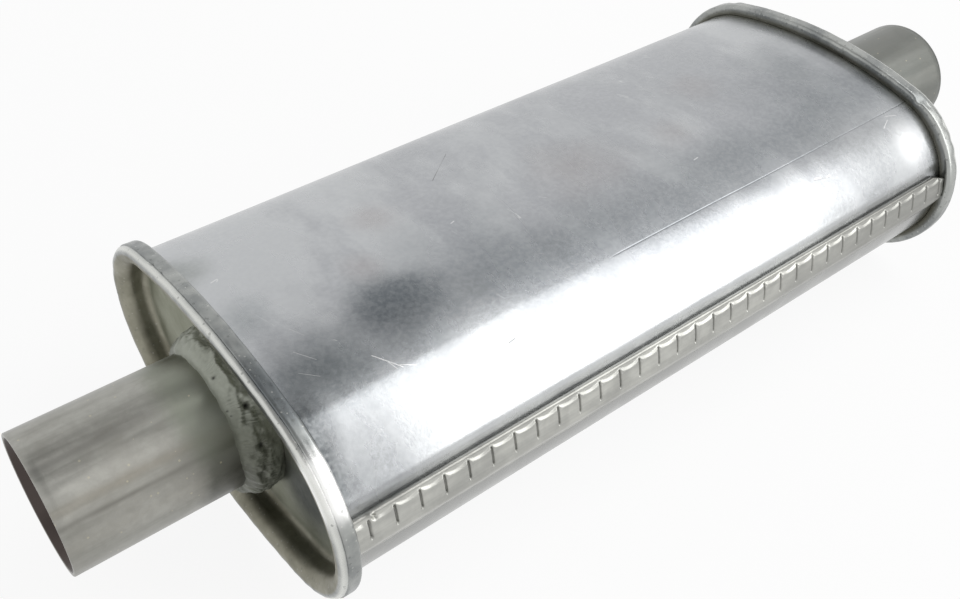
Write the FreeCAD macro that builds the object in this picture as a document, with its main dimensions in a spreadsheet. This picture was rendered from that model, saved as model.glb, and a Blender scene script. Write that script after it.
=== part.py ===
# Oval centre-in, centre-out exhaust muffler, built as the real one is: a two-ply wrapped shell with a
# staked lock seam, two recessed heads rolled onto its ends, two pipe stubs welded into the heads, and
# a cross-flow interior of three baffles, two slotted core tubes, two transfer tubes and packing.
# Frame: origin at the centre of the inlet pipe's mouth, +X along the pipes towards the outlet,
# +Z up, millimetres. The longitudinal lock seam is on the -Y side.

import FreeCAD, Part
import math
import os
import Sketcher

doc = FreeCAD.newDocument("muffler")

# Driving dimensions, in millimetres unless the name says otherwise

DIMENSIONS = [
    ("body_width", 150.4, "oval shell across Y, outside"),
    ("body_height", 82.0, "oval shell across Z, outside"),
    ("side_radius", 36.5, "outside radius of the shell's two flanks"),
    ("body_length", 318.5, "over both end rims"),
    ("shell_sheet", 0.8, "outer ply of the wrapped shell"),
    ("inner_sheet", 0.8, "inner ply of the wrapped shell"),
    ("ply_gap", 0.1, "between plies, and between the shell and a head"),
    ("head_sheet", 1.5, "pressed heads"),
    ("seam_play", 0.4, "between the folded layers of a rolled end seam"),
    ("rim_width", 7.6, "rolled end seam along X"),
    ("mouth_radius", 5.5, "bend from the recess wall out to the rim's face"),
    ("lip_radius", 2.2, "bend from the rim's face back along its outside"),
    ("lip_width", 2.5, "rim face to the step on the rim's outside"),
    ("lip_step", 0.4, "height of that step, up to the rim's band"),
    ("rim_back_radius", 1.6, "rounding of the rim's edge that faces the shell"),
    ("recess_depth", 10.5, "rim face to head plate"),
    ("recess_radius", 3.0, "where the head's wall turns into its plate"),
    ("collar_height", 7.5, "head's drawn collar, out from its plate"),
    ("lock_height", 8.0, "height of the lock seam's middle above the axis"),
    ("lock_width", 10.0, "lock seam across its band"),
    ("lock_gap", 0.08, "between the four layers of the lock seam"),
    ("lock_step", 4.6, "run of the step up to the lock seam's outer layer"),
    ("lock_setback", 0.4, "lock seam's cut end to the end rim"),
    ("stake_lead", 5.0, "lock seam's cut end to the middle of the first stake mark"),
    ("stake_pitch", 9.5, "stake marks along the lock seam"),
    ("stake_width", 1.3, "one stake mark along X"),
    ("stake_height", 7.4, "one stake mark across the band"),
    ("stake_depth", 0.45, "one stake mark into the outer layer"),
    ("pipe_od", 50.8, "pipe stubs, outside"),
    ("pipe_wall", 1.5, "pipe stubs"),
    ("pipe_reduction", 0.6, "swaged neck, per side"),
    ("inlet_reach", 62.0, "inlet mouth to inlet rim face"),
    ("outlet_reach", 69.0, "outlet rim face to outlet mouth"),
    ("neck_lead", 4.0, "swage starts this far outside the rim face"),
    ("neck_taper", 2.0, "length of the swage's cone"),
    ("neck_tail", 9.0, "neck carried past the inner face of the head"),
    ("bead_toe", 3.2, "weld bead's toe outside the rim face"),
    ("bead_crown", 4.8, "weld bead's crown above the pipe"),
    ("bead_foot", 6.2, "weld bead's foot on the head plate, above the pipe"),
    ("fit_gap", 0.1, "sliding gap between nested round parts"),
    ("core_wall", 1.2, "slotted core tubes"),
    ("core_start", 4.0, "core tube's outer end, inside the rim face"),
    ("core_tail", 3.0, "core tube past its baffle"),
    ("core_slot_length", 10.0, "core slot along X"),
    ("core_slot_width", 6.0, "core slot around the tube"),
    ("core_slot_pitch", 13.0, "core slots along X"),
    ("core_slot_start", 30.0, "rim face to the first core slot"),
    ("plug_skirt", 8.0, "pressed plug's skirt"),
    ("baffle_sheet", 1.2, "pressed baffles"),
    ("baffle_flange", 8.0, "baffle's turned edge along the shell"),
    ("baffle_collar", 4.0, "drawn collars round the baffle holes"),
    ("end_chamber", 85.0, "rim face to the first baffle, at both ends"),
    ("transfer_od", 34.0, "transfer tubes, outside"),
    ("transfer_wall", 1.2, "transfer tubes"),
    ("transfer_offset", 47.0, "transfer tubes from the middle, across Y"),
    ("transfer_tail", 15.0, "transfer tube past the end baffles"),
    ("transfer_slot_length", 12.0, "transfer slot along X"),
    ("transfer_slot_width", 5.0, "transfer slot around the tube"),
    ("transfer_slot_pitch", 18.0, "transfer slots along X"),
    ("packing_gap", 0.3, "packing to the steel round it"),
    ("tack_size", 2.2, "tack welds between neck and core tube"),
    ("tack_angle", 30.0, "one tack weld, degrees"),
]
CORE_SLOT_ROWS = 4
CORE_SLOT_COUNT = 8
TRANSFER_SLOT_ROWS = 6
TRANSFER_SLOT_COUNT = 6
TACKS = 4
TOLERANCE = 0.01

sheet = doc.addObject("Spreadsheet::Sheet", "dims")
for row, (alias, value, note) in enumerate(DIMENSIONS, start=1):
    sheet.set(f"A{row}", alias)
    sheet.set(f"B{row}", str(value))
    sheet.set(f"C{row}", note)
    sheet.setAlias(f"B{row}", alias)
doc.recompute()


def size(expression):
    """Return the value of an expression over the sheet's named cells."""
    return float(sheet.evalExpression(expression.replace("dims.", "")))


# Stand-offs from the shell's outer face, used by every ring that nests in the shell

LINER = "-(dims.shell_sheet + dims.ply_gap)"
LINER_INSIDE = "-(dims.shell_sheet + dims.ply_gap + dims.inner_sheet)"
LINED = "-(dims.shell_sheet + dims.inner_sheet + 2 * dims.ply_gap)"
WALL_INSIDE = "-(dims.shell_sheet + dims.inner_sheet + 2 * dims.ply_gap + dims.head_sheet)"
RIM_HEIGHT = "(2 * dims.head_sheet + dims.shell_sheet + 3 * dims.seam_play)"
LIP_HEIGHT = f"({RIM_HEIGHT} - dims.lip_step)"
NECK_RADIUS = "(dims.pipe_od / 2 - dims.pipe_reduction)"
CORE_RADIUS = f"({NECK_RADIUS} - dims.pipe_wall - dims.fit_gap)"
PLATE_BACK = "(dims.recess_depth + dims.head_sheet)"
BAFFLE_SPAN = "(dims.body_length - 2 * dims.end_chamber - dims.baffle_sheet)"


def station(end, distance):
    """Return X at a distance inside one rim's face, as an expression."""
    if end == "inlet":
        return f"(dims.inlet_reach + ({distance}))"
    return f"(dims.inlet_reach + dims.body_length - ({distance}))"


def slab_start(end, distance, length):
    """Return the lower X of a slab that starts at a distance inside one rim's face."""
    if end == "inlet":
        return station(end, distance)
    return station(end, f"({distance}) + ({length})")


# Sketch helpers


def new_body(name):
    body = doc.addObject("PartDesign::Body", name)
    body.Label = name
    return body


def origin_plane(body, role):
    return next(plane for plane in body.Origin.OriginFeatures if plane.Role == role)


def sketch_on(body, role, name, lift=None):
    """Attach a sketch to one of its body's own planes, lifted along the plane's normal."""
    sketch = body.newObject("Sketcher::SketchObject", name)
    sketch.AttachmentSupport = [(origin_plane(body, role), "")]
    sketch.MapMode = "FlatFace"
    if lift is not None:
        sketch.setExpression(".AttachmentOffset.Base.z", lift)
    return sketch


def bind(sketch, constraint, expression):
    """Add a dimension to a sketch and tie it to an expression over the sheet."""
    index = sketch.addConstraint(constraint)
    sketch.setExpression(f"Constraints[{index}]", expression)


def place_point(sketch, geometry, position, across, up):
    """Fix one sketch point by its two distances from the sketch's origin."""
    for kind, expression, axis in (("DistanceX", across, -2), ("DistanceY", up, -1)):
        value = size(expression)
        if abs(value) < TOLERANCE:
            sketch.addConstraint(Sketcher.Constraint("PointOnObject", geometry, position, axis))
        else:
            bind(sketch, Sketcher.Constraint(kind, -1, 1, geometry, position, value), expression)


def add_outline(sketch, points):
    """Draw a closed outline of straight edges whose corners are pairs of expressions."""
    corners = [FreeCAD.Vector(size(across), size(up), 0) for across, up in points]
    lines = []
    for index, corner in enumerate(corners):
        following = corners[(index + 1) % len(corners)]
        lines.append(sketch.addGeometry(Part.LineSegment(corner, following)))
    for index, line in enumerate(lines):
        following = lines[(index + 1) % len(lines)]
        sketch.addConstraint(Sketcher.Constraint("Coincident", line, 2, following, 1))
    for line, (across, up) in zip(lines, points):
        place_point(sketch, line, 1, across, up)


def add_circle(sketch, radius, across="0", up="0"):
    """Draw a circle whose radius and centre are expressions."""
    centre = FreeCAD.Vector(size(across), size(up), 0)
    circle = sketch.addGeometry(Part.Circle(centre, FreeCAD.Vector(0, 0, 1), size(radius)))
    bind(sketch, Sketcher.Constraint("Radius", circle, size(radius)), radius)
    place_point(sketch, circle, 3, across, up)


def oval_frame(offset=0.0):
    """Return the flank radius, flank centre, crown radius, crown centre and joint angle of an oval."""
    half_width = size("dims.body_width / 2") + offset
    half_height = size("dims.body_height / 2") + offset
    flank = size("dims.side_radius") + offset
    flank_centre = half_width - flank
    crown = (flank_centre**2 + half_height**2 - flank**2) / (2 * (half_height - flank))
    crown_centre = crown - half_height
    return flank, flank_centre, crown, crown_centre, math.atan2(crown_centre, flank_centre)


def add_oval(sketch, offset):
    """Draw the four-arc oval that stands off the shell's outline by an expression."""
    flank, flank_centre, crown, crown_centre, joint = oval_frame(size(offset))
    arcs = []
    for centre, radius, begin, end in (
        ((flank_centre, 0), flank, -joint, joint),
        ((0, -crown_centre), crown, joint, math.pi - joint),
        ((-flank_centre, 0), flank, math.pi - joint, math.pi + joint),
        ((0, crown_centre), crown, math.pi + joint, 2 * math.pi - joint),
    ):
        circle = Part.Circle(FreeCAD.Vector(*centre, 0), FreeCAD.Vector(0, 0, 1), radius)
        arcs.append(sketch.addGeometry(Part.ArcOfCircle(circle, begin, end)))
    right, top, left, bottom = arcs
    peak = sketch.addGeometry(Part.Point(FreeCAD.Vector(0, crown - crown_centre, 0)), True)
    for constraint in (
        Sketcher.Constraint("Tangent", right, 2, top, 1),
        Sketcher.Constraint("Coincident", top, 2, left, 1),
        Sketcher.Constraint("Coincident", left, 2, bottom, 1),
        Sketcher.Constraint("Coincident", bottom, 2, right, 1),
        Sketcher.Constraint("Symmetric", top, 1, top, 2, -2),
        Sketcher.Constraint("Symmetric", bottom, 1, bottom, 2, -2),
        Sketcher.Constraint("Symmetric", right, 1, right, 2, -1),
        Sketcher.Constraint("Equal", top, bottom),
        Sketcher.Constraint("Equal", right, left),
        Sketcher.Constraint("PointOnObject", peak, 1, top),
        Sketcher.Constraint("PointOnObject", peak, 1, -2),
    ):
        sketch.addConstraint(constraint)
    bind(sketch, Sketcher.Constraint("Radius", right, flank), f"dims.side_radius + {offset}")
    bind(
        sketch,
        Sketcher.Constraint("DistanceX", -1, 1, right, 3, flank_centre),
        "dims.body_width / 2 - dims.side_radius",
    )
    bind(
        sketch,
        Sketcher.Constraint("DistanceY", -1, 1, peak, 1, crown - crown_centre),
        f"dims.body_height / 2 + {offset}",
    )


# Feature helpers


def pad_sketch(body, sketch, name, length):
    pad = body.newObject("PartDesign::Pad", name)
    pad.Profile = sketch
    pad.setExpression("Length", length)
    return pad


def oval_pad(body, name, start, length, outer, inner=None):
    """Pad an oval slab, or an oval ring when an inner stand-off is given, along X."""
    sketch = sketch_on(body, "YZ_Plane", name + "_outline", start)
    add_oval(sketch, outer)
    if inner is not None:
        add_oval(sketch, inner)
    return pad_sketch(body, sketch, name, length)


def round_pad(body, name, start, length, circles):
    """Pad circles, each a radius and a place across, along X."""
    sketch = sketch_on(body, "YZ_Plane", name + "_outline", start)
    for radius, across in circles:
        add_circle(sketch, radius, across)
    return pad_sketch(body, sketch, name, length)


def round_holes(body, name, start, circles):
    """Cut circles, each a radius and a place across, through everything in +X."""
    sketch = sketch_on(body, "YZ_Plane", name + "_outline", start)
    for radius, across in circles:
        add_circle(sketch, radius, across)
    holes = body.newObject("PartDesign::Pocket", name)
    holes.Profile = sketch
    holes.Type = "ThroughAll"
    holes.Reversed = True
    return holes


def turned(body, name, points):
    """Revolve an outline in the XZ plane about the pipes' axis."""
    sketch = sketch_on(body, "XZ_Plane", name + "_outline")
    add_outline(sketch, points)
    revolution = body.newObject("PartDesign::Revolution", name)
    revolution.Profile = sketch
    revolution.ReferenceAxis = (sketch, ["H_Axis"])
    revolution.Angle = 360
    return revolution


def oval_offset(y, z):
    """Return how far a point of a YZ section lies outside the shell's outer face."""
    flank, flank_centre, crown, crown_centre, joint = oval_frame()
    y, z = abs(y), abs(z)
    if math.atan2(z + crown_centre, y) > joint:
        return math.hypot(y, z + crown_centre) - crown
    return math.hypot(y - flank_centre, z) - flank


def oval_edges(feature, x, offset):
    """Name the edges of a feature that run round the shell at one station and stand-off."""
    names = []
    for index, edge in enumerate(feature.Shape.Edges, start=1):
        middle = edge.valueAt((edge.FirstParameter + edge.LastParameter) / 2)
        points = [middle] + [vertex.Point for vertex in edge.Vertexes]
        on_station = all(abs(point.x - x) < TOLERANCE for point in points)
        on_oval = all(abs(oval_offset(point.y, point.z) - offset) < TOLERANCE for point in points)
        if on_station and on_oval:
            names.append(f"Edge{index}")
    return names


def round_edges(body, base, name, x, offset, radius):
    """Fillet the edges that run round the shell at one station and stand-off."""
    doc.recompute()
    fillet = body.newObject("PartDesign::Fillet", name)
    fillet.Base = (base, oval_edges(base, size(x), size(offset)))
    fillet.setExpression("Radius", radius)
    return fillet


# Outer ply of the shell: one sheet wrapped round the oval, its two edges hooked into a lock seam of
# four layers on the -Y flank. Layers are counted outwards: 1 the upper edge's wall, 2 the lower
# edge's hook, 3 the upper edge's hook, 4 the lower edge's outer face.


def seam_point(radius, angle):
    """Return a point of the YZ section in polar terms round the -Y flank's centre."""
    flank_centre = oval_frame()[1]
    return FreeCAD.Vector(0, -flank_centre - radius * math.cos(angle), radius * math.sin(angle))


def seam_arc(radius, begin, end):
    middle = (begin + end) / 2
    return Part.Arc(seam_point(radius, begin), seam_point(radius, middle), seam_point(radius, end)).toShape()


def seam_sector(inner, outer, begin, end):
    """Return a face between two radii and two angles of the flank."""
    edges = [
        seam_arc(inner, begin, end),
        Part.makeLine(seam_point(inner, end), seam_point(outer, end)),
        seam_arc(outer, end, begin),
        Part.makeLine(seam_point(outer, begin), seam_point(inner, begin)),
    ]
    return Part.Face(Part.Wire(edges))


def seam_fold(centre_radius, angle, outer, inner, upwards):
    """Return the half ring where one layer turns back on the next but one."""
    centre = seam_point(centre_radius, angle)
    radial = (seam_point(centre_radius + 1, angle) - centre).normalize()
    along = seam_point(centre_radius, angle + TOLERANCE) - centre
    along = along.normalize() if upwards else along.normalize().negative()
    edges = []
    for radius in (outer, inner):
        start = centre + radial * radius
        middle = centre + along * radius
        finish = centre - radial * radius
        edges.append(Part.Arc(start, middle, finish).toShape())
    edges.append(Part.makeLine(centre + radial * outer, centre + radial * inner))
    edges.append(Part.makeLine(centre - radial * outer, centre - radial * inner))
    return Part.Face(Part.Wire(Part.sortEdges(edges)[0]))


def oval_face(offset):
    """Return the oval face that stands off the shell's outline by a distance."""
    flank, flank_centre, crown, crown_centre, joint = oval_frame(offset)
    edges = []
    for centre, radius, begin, end in (
        ((flank_centre, 0), flank, -joint, joint),
        ((0, -crown_centre), crown, joint, math.pi - joint),
        ((-flank_centre, 0), flank, math.pi - joint, math.pi + joint),
        ((0, crown_centre), crown, math.pi + joint, 2 * math.pi - joint),
    ):
        points = []
        for angle in (begin, (begin + end) / 2, end):
            y = centre[0] + radius * math.cos(angle)
            z = centre[1] + radius * math.sin(angle)
            points.append(FreeCAD.Vector(0, y, z))
        edges.append(Part.Arc(*points).toShape())
    return Part.Face(Part.Wire(edges))


HOOK_BELOW = 2
HOOK_ABOVE = 3
OUTER_FACE = 4
thickness = size("dims.shell_sheet")
layer_pitch = thickness + size("dims.lock_gap")
flank_radius = size("dims.side_radius")


def layer_inner(layer):
    """Return the inner radius of one layer of the lock seam."""
    return flank_radius - thickness + (layer - 1) * layer_pitch


def layer_middle(layer):
    return layer_inner(layer) + thickness / 2


def seam_layer(layer, begin, end):
    """Return one layer of the lock seam between two angles."""
    return seam_sector(layer_inner(layer), layer_inner(layer) + thickness, begin, end)


fold_outer = layer_pitch + thickness / 2
fold_inner = layer_pitch - thickness / 2
lock_top = size("dims.lock_height + dims.lock_width / 2")
lock_bottom = size("dims.lock_height - dims.lock_width / 2")
top_fold = math.asin((lock_top - fold_outer) / flank_radius)
bottom_fold = math.asin((lock_bottom + fold_outer) / flank_radius)
step_top = math.asin((lock_bottom - thickness) / flank_radius)
step_foot = step_top - size("dims.lock_step") / flank_radius
hook_gap = 2 * thickness / flank_radius


def lock_seam_section():
    """Return the YZ section of the wrapped sheet, hooked edges and all."""
    ring = oval_face(0).cut(oval_face(-thickness))
    opening = seam_sector(flank_radius - 2 * thickness, flank_radius + thickness, step_foot, bottom_fold)
    step_corners = [
        seam_point(flank_radius - thickness, step_foot),
        seam_point(layer_inner(OUTER_FACE), step_top),
        seam_point(layer_inner(OUTER_FACE) + thickness, step_top),
        seam_point(flank_radius, step_foot),
    ]
    step = Part.Face(Part.makePolygon(step_corners + step_corners[:1]))
    lower_face = seam_layer(OUTER_FACE, step_top, top_fold)
    top_turn = seam_fold(layer_middle(HOOK_ABOVE), top_fold, fold_outer, fold_inner, True)
    lower_hook = seam_layer(HOOK_BELOW, bottom_fold + hook_gap, top_fold)
    bottom_turn = seam_fold(layer_middle(HOOK_BELOW), bottom_fold, fold_outer, fold_inner, False)
    upper_hook = seam_layer(HOOK_ABOVE, bottom_fold, top_fold - hook_gap)
    section = ring.cut(opening)
    section = section.multiFuse([step, lower_face, top_turn, lower_hook, bottom_turn, upper_hook])
    return section.removeSplitter()


wrap_section = doc.addObject("Part::Feature", "wrap_section")
wrap_section.Shape = lock_seam_section()

wrap = doc.addObject("Part::Extrusion", "wrap")
wrap.Base = wrap_section
wrap.Dir = FreeCAD.Vector(1, 0, 0)
wrap.DirMode = "Custom"
wrap.Solid = True
wrap.setExpression("LengthFwd", "dims.body_length - 2 * (dims.rim_width + dims.lock_setback)")
wrap.setExpression(".Placement.Base.x", station("inlet", "dims.rim_width + dims.lock_setback"))

# Each end of the outer ply is a plain ring that turns outwards and back inside the rolled rim. It
# turns as soon as its inner face is clear of the head's bend.

BEND_INSIDE = "(dims.mouth_radius - dims.head_sheet - dims.ply_gap)"
BEND_LEVEL = "(dims.mouth_radius - dims.head_sheet - dims.inner_sheet - 2 * dims.ply_gap)"
TURN_START = f"(dims.mouth_radius - sqrt({BEND_INSIDE} ^ 2 - {BEND_LEVEL} ^ 2))"
HOOK_OUTER = "(dims.head_sheet + dims.shell_sheet + 2 * dims.seam_play)"


def shell_end(end):
    body = new_body(end + "_shell_end")
    wall_length = f"dims.rim_width + dims.lock_setback - {TURN_START}"
    hook_length = f"dims.rim_width - {TURN_START} - dims.head_sheet - dims.seam_play"
    oval_pad(
        body, end + "_end_wall", slab_start(end, TURN_START, wall_length), wall_length,
        "0", "-dims.shell_sheet",
    )
    oval_pad(
        body, end + "_end_turn", slab_start(end, TURN_START, "dims.shell_sheet"),
        "dims.shell_sheet", HOOK_OUTER, "-dims.shell_sheet",
    )
    oval_pad(
        body, end + "_end_hook", slab_start(end, TURN_START, hook_length), hook_length,
        HOOK_OUTER, f"{HOOK_OUTER} - dims.shell_sheet",
    )
    return body


def stake_marks():
    """Return the cutters of the stake marks, evenly pitched along the lock seam."""
    depth = size("dims.stake_depth")
    outer = layer_inner(OUTER_FACE) + thickness
    middle = math.asin(size("dims.lock_height") / flank_radius)
    half = size("dims.stake_height") / 2 / flank_radius
    profile = seam_sector(outer - depth, outer + thickness, middle - half, middle + half)
    width = size("dims.stake_width")
    pitch = size("dims.stake_pitch")
    first = size(station("inlet", "dims.rim_width + dims.lock_setback + dims.stake_lead"))
    last = size(station("outlet", "dims.rim_width + dims.lock_setback + dims.stake_width"))
    cutters = []
    for index in range(int((last - first) / pitch) + 1):
        cutter = profile.extrude(FreeCAD.Vector(width, 0, 0))
        cutter.translate(FreeCAD.Vector(first + index * pitch - width / 2, 0, 0))
        cutters.append(cutter)
    return Part.makeCompound(cutters)


stakes = doc.addObject("Part::Feature", "stake_row")
stakes.Shape = stake_marks()
wrapped = doc.addObject("Part::MultiFuse", "wrapped")
wrapped.Shapes = [wrap, shell_end("inlet"), shell_end("outlet")]
outer_shell = doc.addObject("Part::Cut", "outer_shell")
outer_shell.Base = wrapped
outer_shell.Tool = stakes
outer_shell.Label = "outer_shell"

# Inner ply: a plain oval sleeve between the outer ply and the heads' walls, from bend to bend

inner_shell = new_body("inner_shell")
oval_pad(
    inner_shell, "inner_ply", station("inlet", "dims.mouth_radius"),
    "dims.body_length - 2 * dims.mouth_radius", LINER, LINER_INSIDE,
)

# Heads: a recessed plate with a drawn collar, a wall up the inside of the shell, and a flange rolled
# over the shell's turned end and back under it


def head(end):
    body = new_body(end + "_head")
    wall_length = PLATE_BACK
    hook_start = f"({TURN_START} + dims.shell_sheet + dims.seam_play)"
    hook_length = f"dims.rim_width - {hook_start}"
    oval_pad(body, end + "_wall", slab_start(end, "0", wall_length), wall_length, LINED, WALL_INSIDE)
    oval_pad(
        body, end + "_plate", slab_start(end, "dims.recess_depth", "dims.head_sheet"),
        "dims.head_sheet", LINED,
    )
    oval_pad(
        body, end + "_face", slab_start(end, "0", "dims.head_sheet"), "dims.head_sheet",
        LIP_HEIGHT, WALL_INSIDE,
    )
    oval_pad(
        body, end + "_lip", slab_start(end, "0", "dims.lip_width"), "dims.lip_width",
        LIP_HEIGHT, f"{RIM_HEIGHT} - dims.head_sheet",
    )
    band_width = "dims.rim_width - dims.lip_width"
    oval_pad(
        body, end + "_band", slab_start(end, "dims.lip_width", band_width), band_width,
        RIM_HEIGHT, f"{RIM_HEIGHT} - dims.head_sheet",
    )
    oval_pad(
        body, end + "_return", slab_start(end, "dims.rim_width - dims.head_sheet", "dims.head_sheet"),
        "dims.head_sheet", RIM_HEIGHT, "dims.seam_play",
    )
    oval_pad(
        body, end + "_hook", slab_start(end, hook_start, hook_length), hook_length,
        "dims.seam_play + dims.head_sheet", "dims.seam_play",
    )
    collar_start = "dims.recess_depth - dims.collar_height"
    round_pad(
        body, end + "_collar",
        slab_start(end, collar_start, "dims.collar_height"), "dims.collar_height",
        [(f"{NECK_RADIUS} + dims.fit_gap + dims.head_sheet", "0")],
    )
    drawn = round_holes(
        body, end + "_bore", slab_start(end, collar_start, f"{PLATE_BACK} - ({collar_start})"),
        [(f"{NECK_RADIUS} + dims.fit_gap", "0")],
    )
    front = station(end, "0")
    rounded = round_edges(
        body, drawn, end + "_bend_back", station(end, "dims.head_sheet"), LINED,
        "dims.mouth_radius - dims.head_sheet",
    )
    rounded = round_edges(body, rounded, end + "_mouth_bend", front, WALL_INSIDE, "dims.mouth_radius")
    rounded = round_edges(body, rounded, end + "_lip_bend", front, LIP_HEIGHT, "dims.lip_radius")
    rounded = round_edges(
        body, rounded, end + "_rim_back", station(end, "dims.rim_width"), RIM_HEIGHT,
        "dims.rim_back_radius",
    )
    round_edges(
        body, rounded, end + "_recess", station(end, "dims.recess_depth"), WALL_INSIDE,
        "dims.recess_radius",
    )
    return body


# Pipe stubs: plain tube, swaged down to a neck that passes through the head's collar


def pipe(end):
    body = new_body(end + "_pipe")
    mouth = station(end, f"-dims.{end}_reach")
    shoulder = station(end, "-dims.neck_lead")
    neck = station(end, "dims.neck_taper - dims.neck_lead")
    tail = station(end, f"{PLATE_BACK} + dims.neck_tail")
    outside = "dims.pipe_od / 2"
    turned(body, end + "_tube", [
        (mouth, f"{outside} - dims.pipe_wall"),
        (shoulder, f"{outside} - dims.pipe_wall"),
        (neck, f"{NECK_RADIUS} - dims.pipe_wall"),
        (tail, f"{NECK_RADIUS} - dims.pipe_wall"),
        (tail, NECK_RADIUS),
        (neck, NECK_RADIUS),
        (shoulder, outside),
        (mouth, outside),
    ])
    return body


# Weld beads: a heavy convex fillet from the pipe over the collar's edge to the head plate


def weld(end):
    body = new_body(end + "_weld")
    outside = "dims.pipe_od / 2"
    collar_edge = "dims.recess_depth - dims.collar_height"
    cone_run = "(dims.neck_lead - dims.bead_toe) / dims.neck_taper"
    cone_radius = f"{outside} - dims.pipe_reduction * {cone_run}"
    turned(body, end + "_bead", [
        (station(end, "-dims.bead_toe"), cone_radius),
        (station(end, "-dims.bead_toe / 2"), f"{outside} + 0.62 * dims.bead_crown"),
        (station(end, "dims.bead_toe / 2"), f"{outside} + 0.95 * dims.bead_crown"),
        (station(end, "dims.recess_depth / 2"), f"{outside} + dims.bead_crown"),
        (station(end, "0.8 * dims.recess_depth"), f"{outside} + dims.bead_crown"),
        (station(end, "dims.recess_depth"), f"{outside} + dims.bead_foot"),
        (station(end, "dims.recess_depth"), f"{NECK_RADIUS} + dims.fit_gap + dims.head_sheet"),
        (station(end, collar_edge), f"{NECK_RADIUS} + dims.fit_gap + dims.head_sheet"),
        (station(end, collar_edge), NECK_RADIUS),
        (station(end, "dims.neck_taper - dims.neck_lead"), NECK_RADIUS),
    ])
    return body


for end_name in ("inlet", "outlet"):
    head(end_name)
    pipe(end_name)
    weld(end_name)

# Slotted core tubes: each slides in its stub's neck, crosses the end chamber and ends in its baffle


def radial_slots(body, name, first, pitch, rows, length, width, radius, wall, around):
    """Cut rows of slots through a tube's wall, repeated round the tube's own axis."""
    sketch = sketch_on(body, "XY_Plane", name + "_outline", f"{radius} - 2 * {wall}")
    for row in range(rows):
        start = f"{first} + {row} * {pitch}"
        add_outline(sketch, [
            (start, f"-{width} / 2"),
            (f"{start} + {length}", f"-{width} / 2"),
            (f"{start} + {length}", f"{width} / 2"),
            (start, f"{width} / 2"),
        ])
    slots = body.newObject("PartDesign::Pocket", name)
    slots.Profile = sketch
    slots.Reversed = True
    slots.setExpression("Length", f"3 * {wall}")
    doc.recompute()
    ring = body.newObject("PartDesign::PolarPattern", name + "_ring")
    ring.Originals = [slots]
    ring.Axis = (origin_plane(body, "X_Axis"), [""])
    ring.Angle = 360
    ring.Occurrences = around
    body.Tip = ring
    return ring


def core_tube(end):
    body = new_body(end + "_core_tube")
    length = "dims.end_chamber + dims.baffle_sheet + dims.core_tail - dims.core_start"
    round_pad(
        body, end + "_core", slab_start(end, "dims.core_start", length), length,
        [(CORE_RADIUS, "0"), (f"{CORE_RADIUS} - dims.core_wall", "0")],
    )
    rows_length = f"{CORE_SLOT_ROWS - 1} * dims.core_slot_pitch + dims.core_slot_length"
    radial_slots(
        body, end + "_core_slots", slab_start(end, "dims.core_slot_start", rows_length),
        "dims.core_slot_pitch", CORE_SLOT_ROWS, "dims.core_slot_length", "dims.core_slot_width",
        CORE_RADIUS, "dims.core_wall", CORE_SLOT_COUNT,
    )
    return body


# Pressed plugs that close the core tubes, so that the gas leaves through the slots


def core_plug(end):
    body = new_body(end + "_core_plug")
    back = station(end, "dims.end_chamber + dims.baffle_sheet + dims.core_tail")
    front = station(end, "dims.end_chamber + dims.baffle_sheet + dims.core_tail - dims.plug_skirt")
    inside = station(
        end, "dims.end_chamber + dims.baffle_sheet + dims.core_tail - dims.plug_skirt + dims.core_wall"
    )
    rim = f"{CORE_RADIUS} - dims.core_wall"
    turned(body, end + "_plug", [
        (front, "0"),
        (inside, "0"),
        (inside, f"{rim} - dims.core_wall"),
        (back, f"{rim} - dims.core_wall"),
        (back, rim),
        (front, rim),
    ])
    return body


# Tack welds that hold each core tube in its neck: four short fillets at the neck's inner end


def tack_ring(end):
    tacks = []
    direction = 1 if end == "inlet" else -1
    turn = FreeCAD.Rotation(FreeCAD.Vector(0, 1, 0), 90 * direction)
    for index in range(TACKS):
        spin = FreeCAD.Rotation(FreeCAD.Vector(1, 0, 0), 360 / TACKS * index)
        fillet = doc.addObject("Part::Cone", f"{end}_fillet_{index + 1}")
        fillet.setExpression("Radius1", f"{CORE_RADIUS} + dims.tack_size")
        fillet.setExpression("Radius2", f"{CORE_RADIUS} + dims.tack_size / 8")
        fillet.setExpression("Height", "dims.tack_size")
        fillet.setExpression("Angle", "dims.tack_angle")
        bore = doc.addObject("Part::Cylinder", f"{end}_fillet_bore_{index + 1}")
        bore.setExpression("Radius", CORE_RADIUS)
        bore.setExpression("Height", "dims.tack_size")
        for solid in (fillet, bore):
            solid.Placement = FreeCAD.Placement(FreeCAD.Vector(), spin.multiply(turn))
            solid.setExpression(".Placement.Base.x", station(end, f"{PLATE_BACK} + dims.neck_tail"))
        tack = doc.addObject("Part::Cut", f"{end}_tack_{index + 1}")
        tack.Base = fillet
        tack.Tool = bore
        tacks.append(tack)
    group = doc.addObject("Part::Compound", end + "_core_tacks")
    group.Links = tacks
    group.Label = end + "_core_tacks"
    return group


# Baffles: flanged oval plates. The end baffles carry the core and transfer tubes in drawn collars;
# the centre one divides the packed chamber and is only pierced for the transfer tubes.


def baffle_circles(with_core, grown="0"):
    """Return the holes of a baffle as circles: radius and place across."""
    transfer = f"dims.transfer_od / 2 + dims.fit_gap + {grown}"
    circles = [(transfer, "dims.transfer_offset"), (transfer, "-dims.transfer_offset")]
    if with_core:
        circles.append((f"{CORE_RADIUS} + dims.fit_gap + {grown}", "0"))
    return circles


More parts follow.
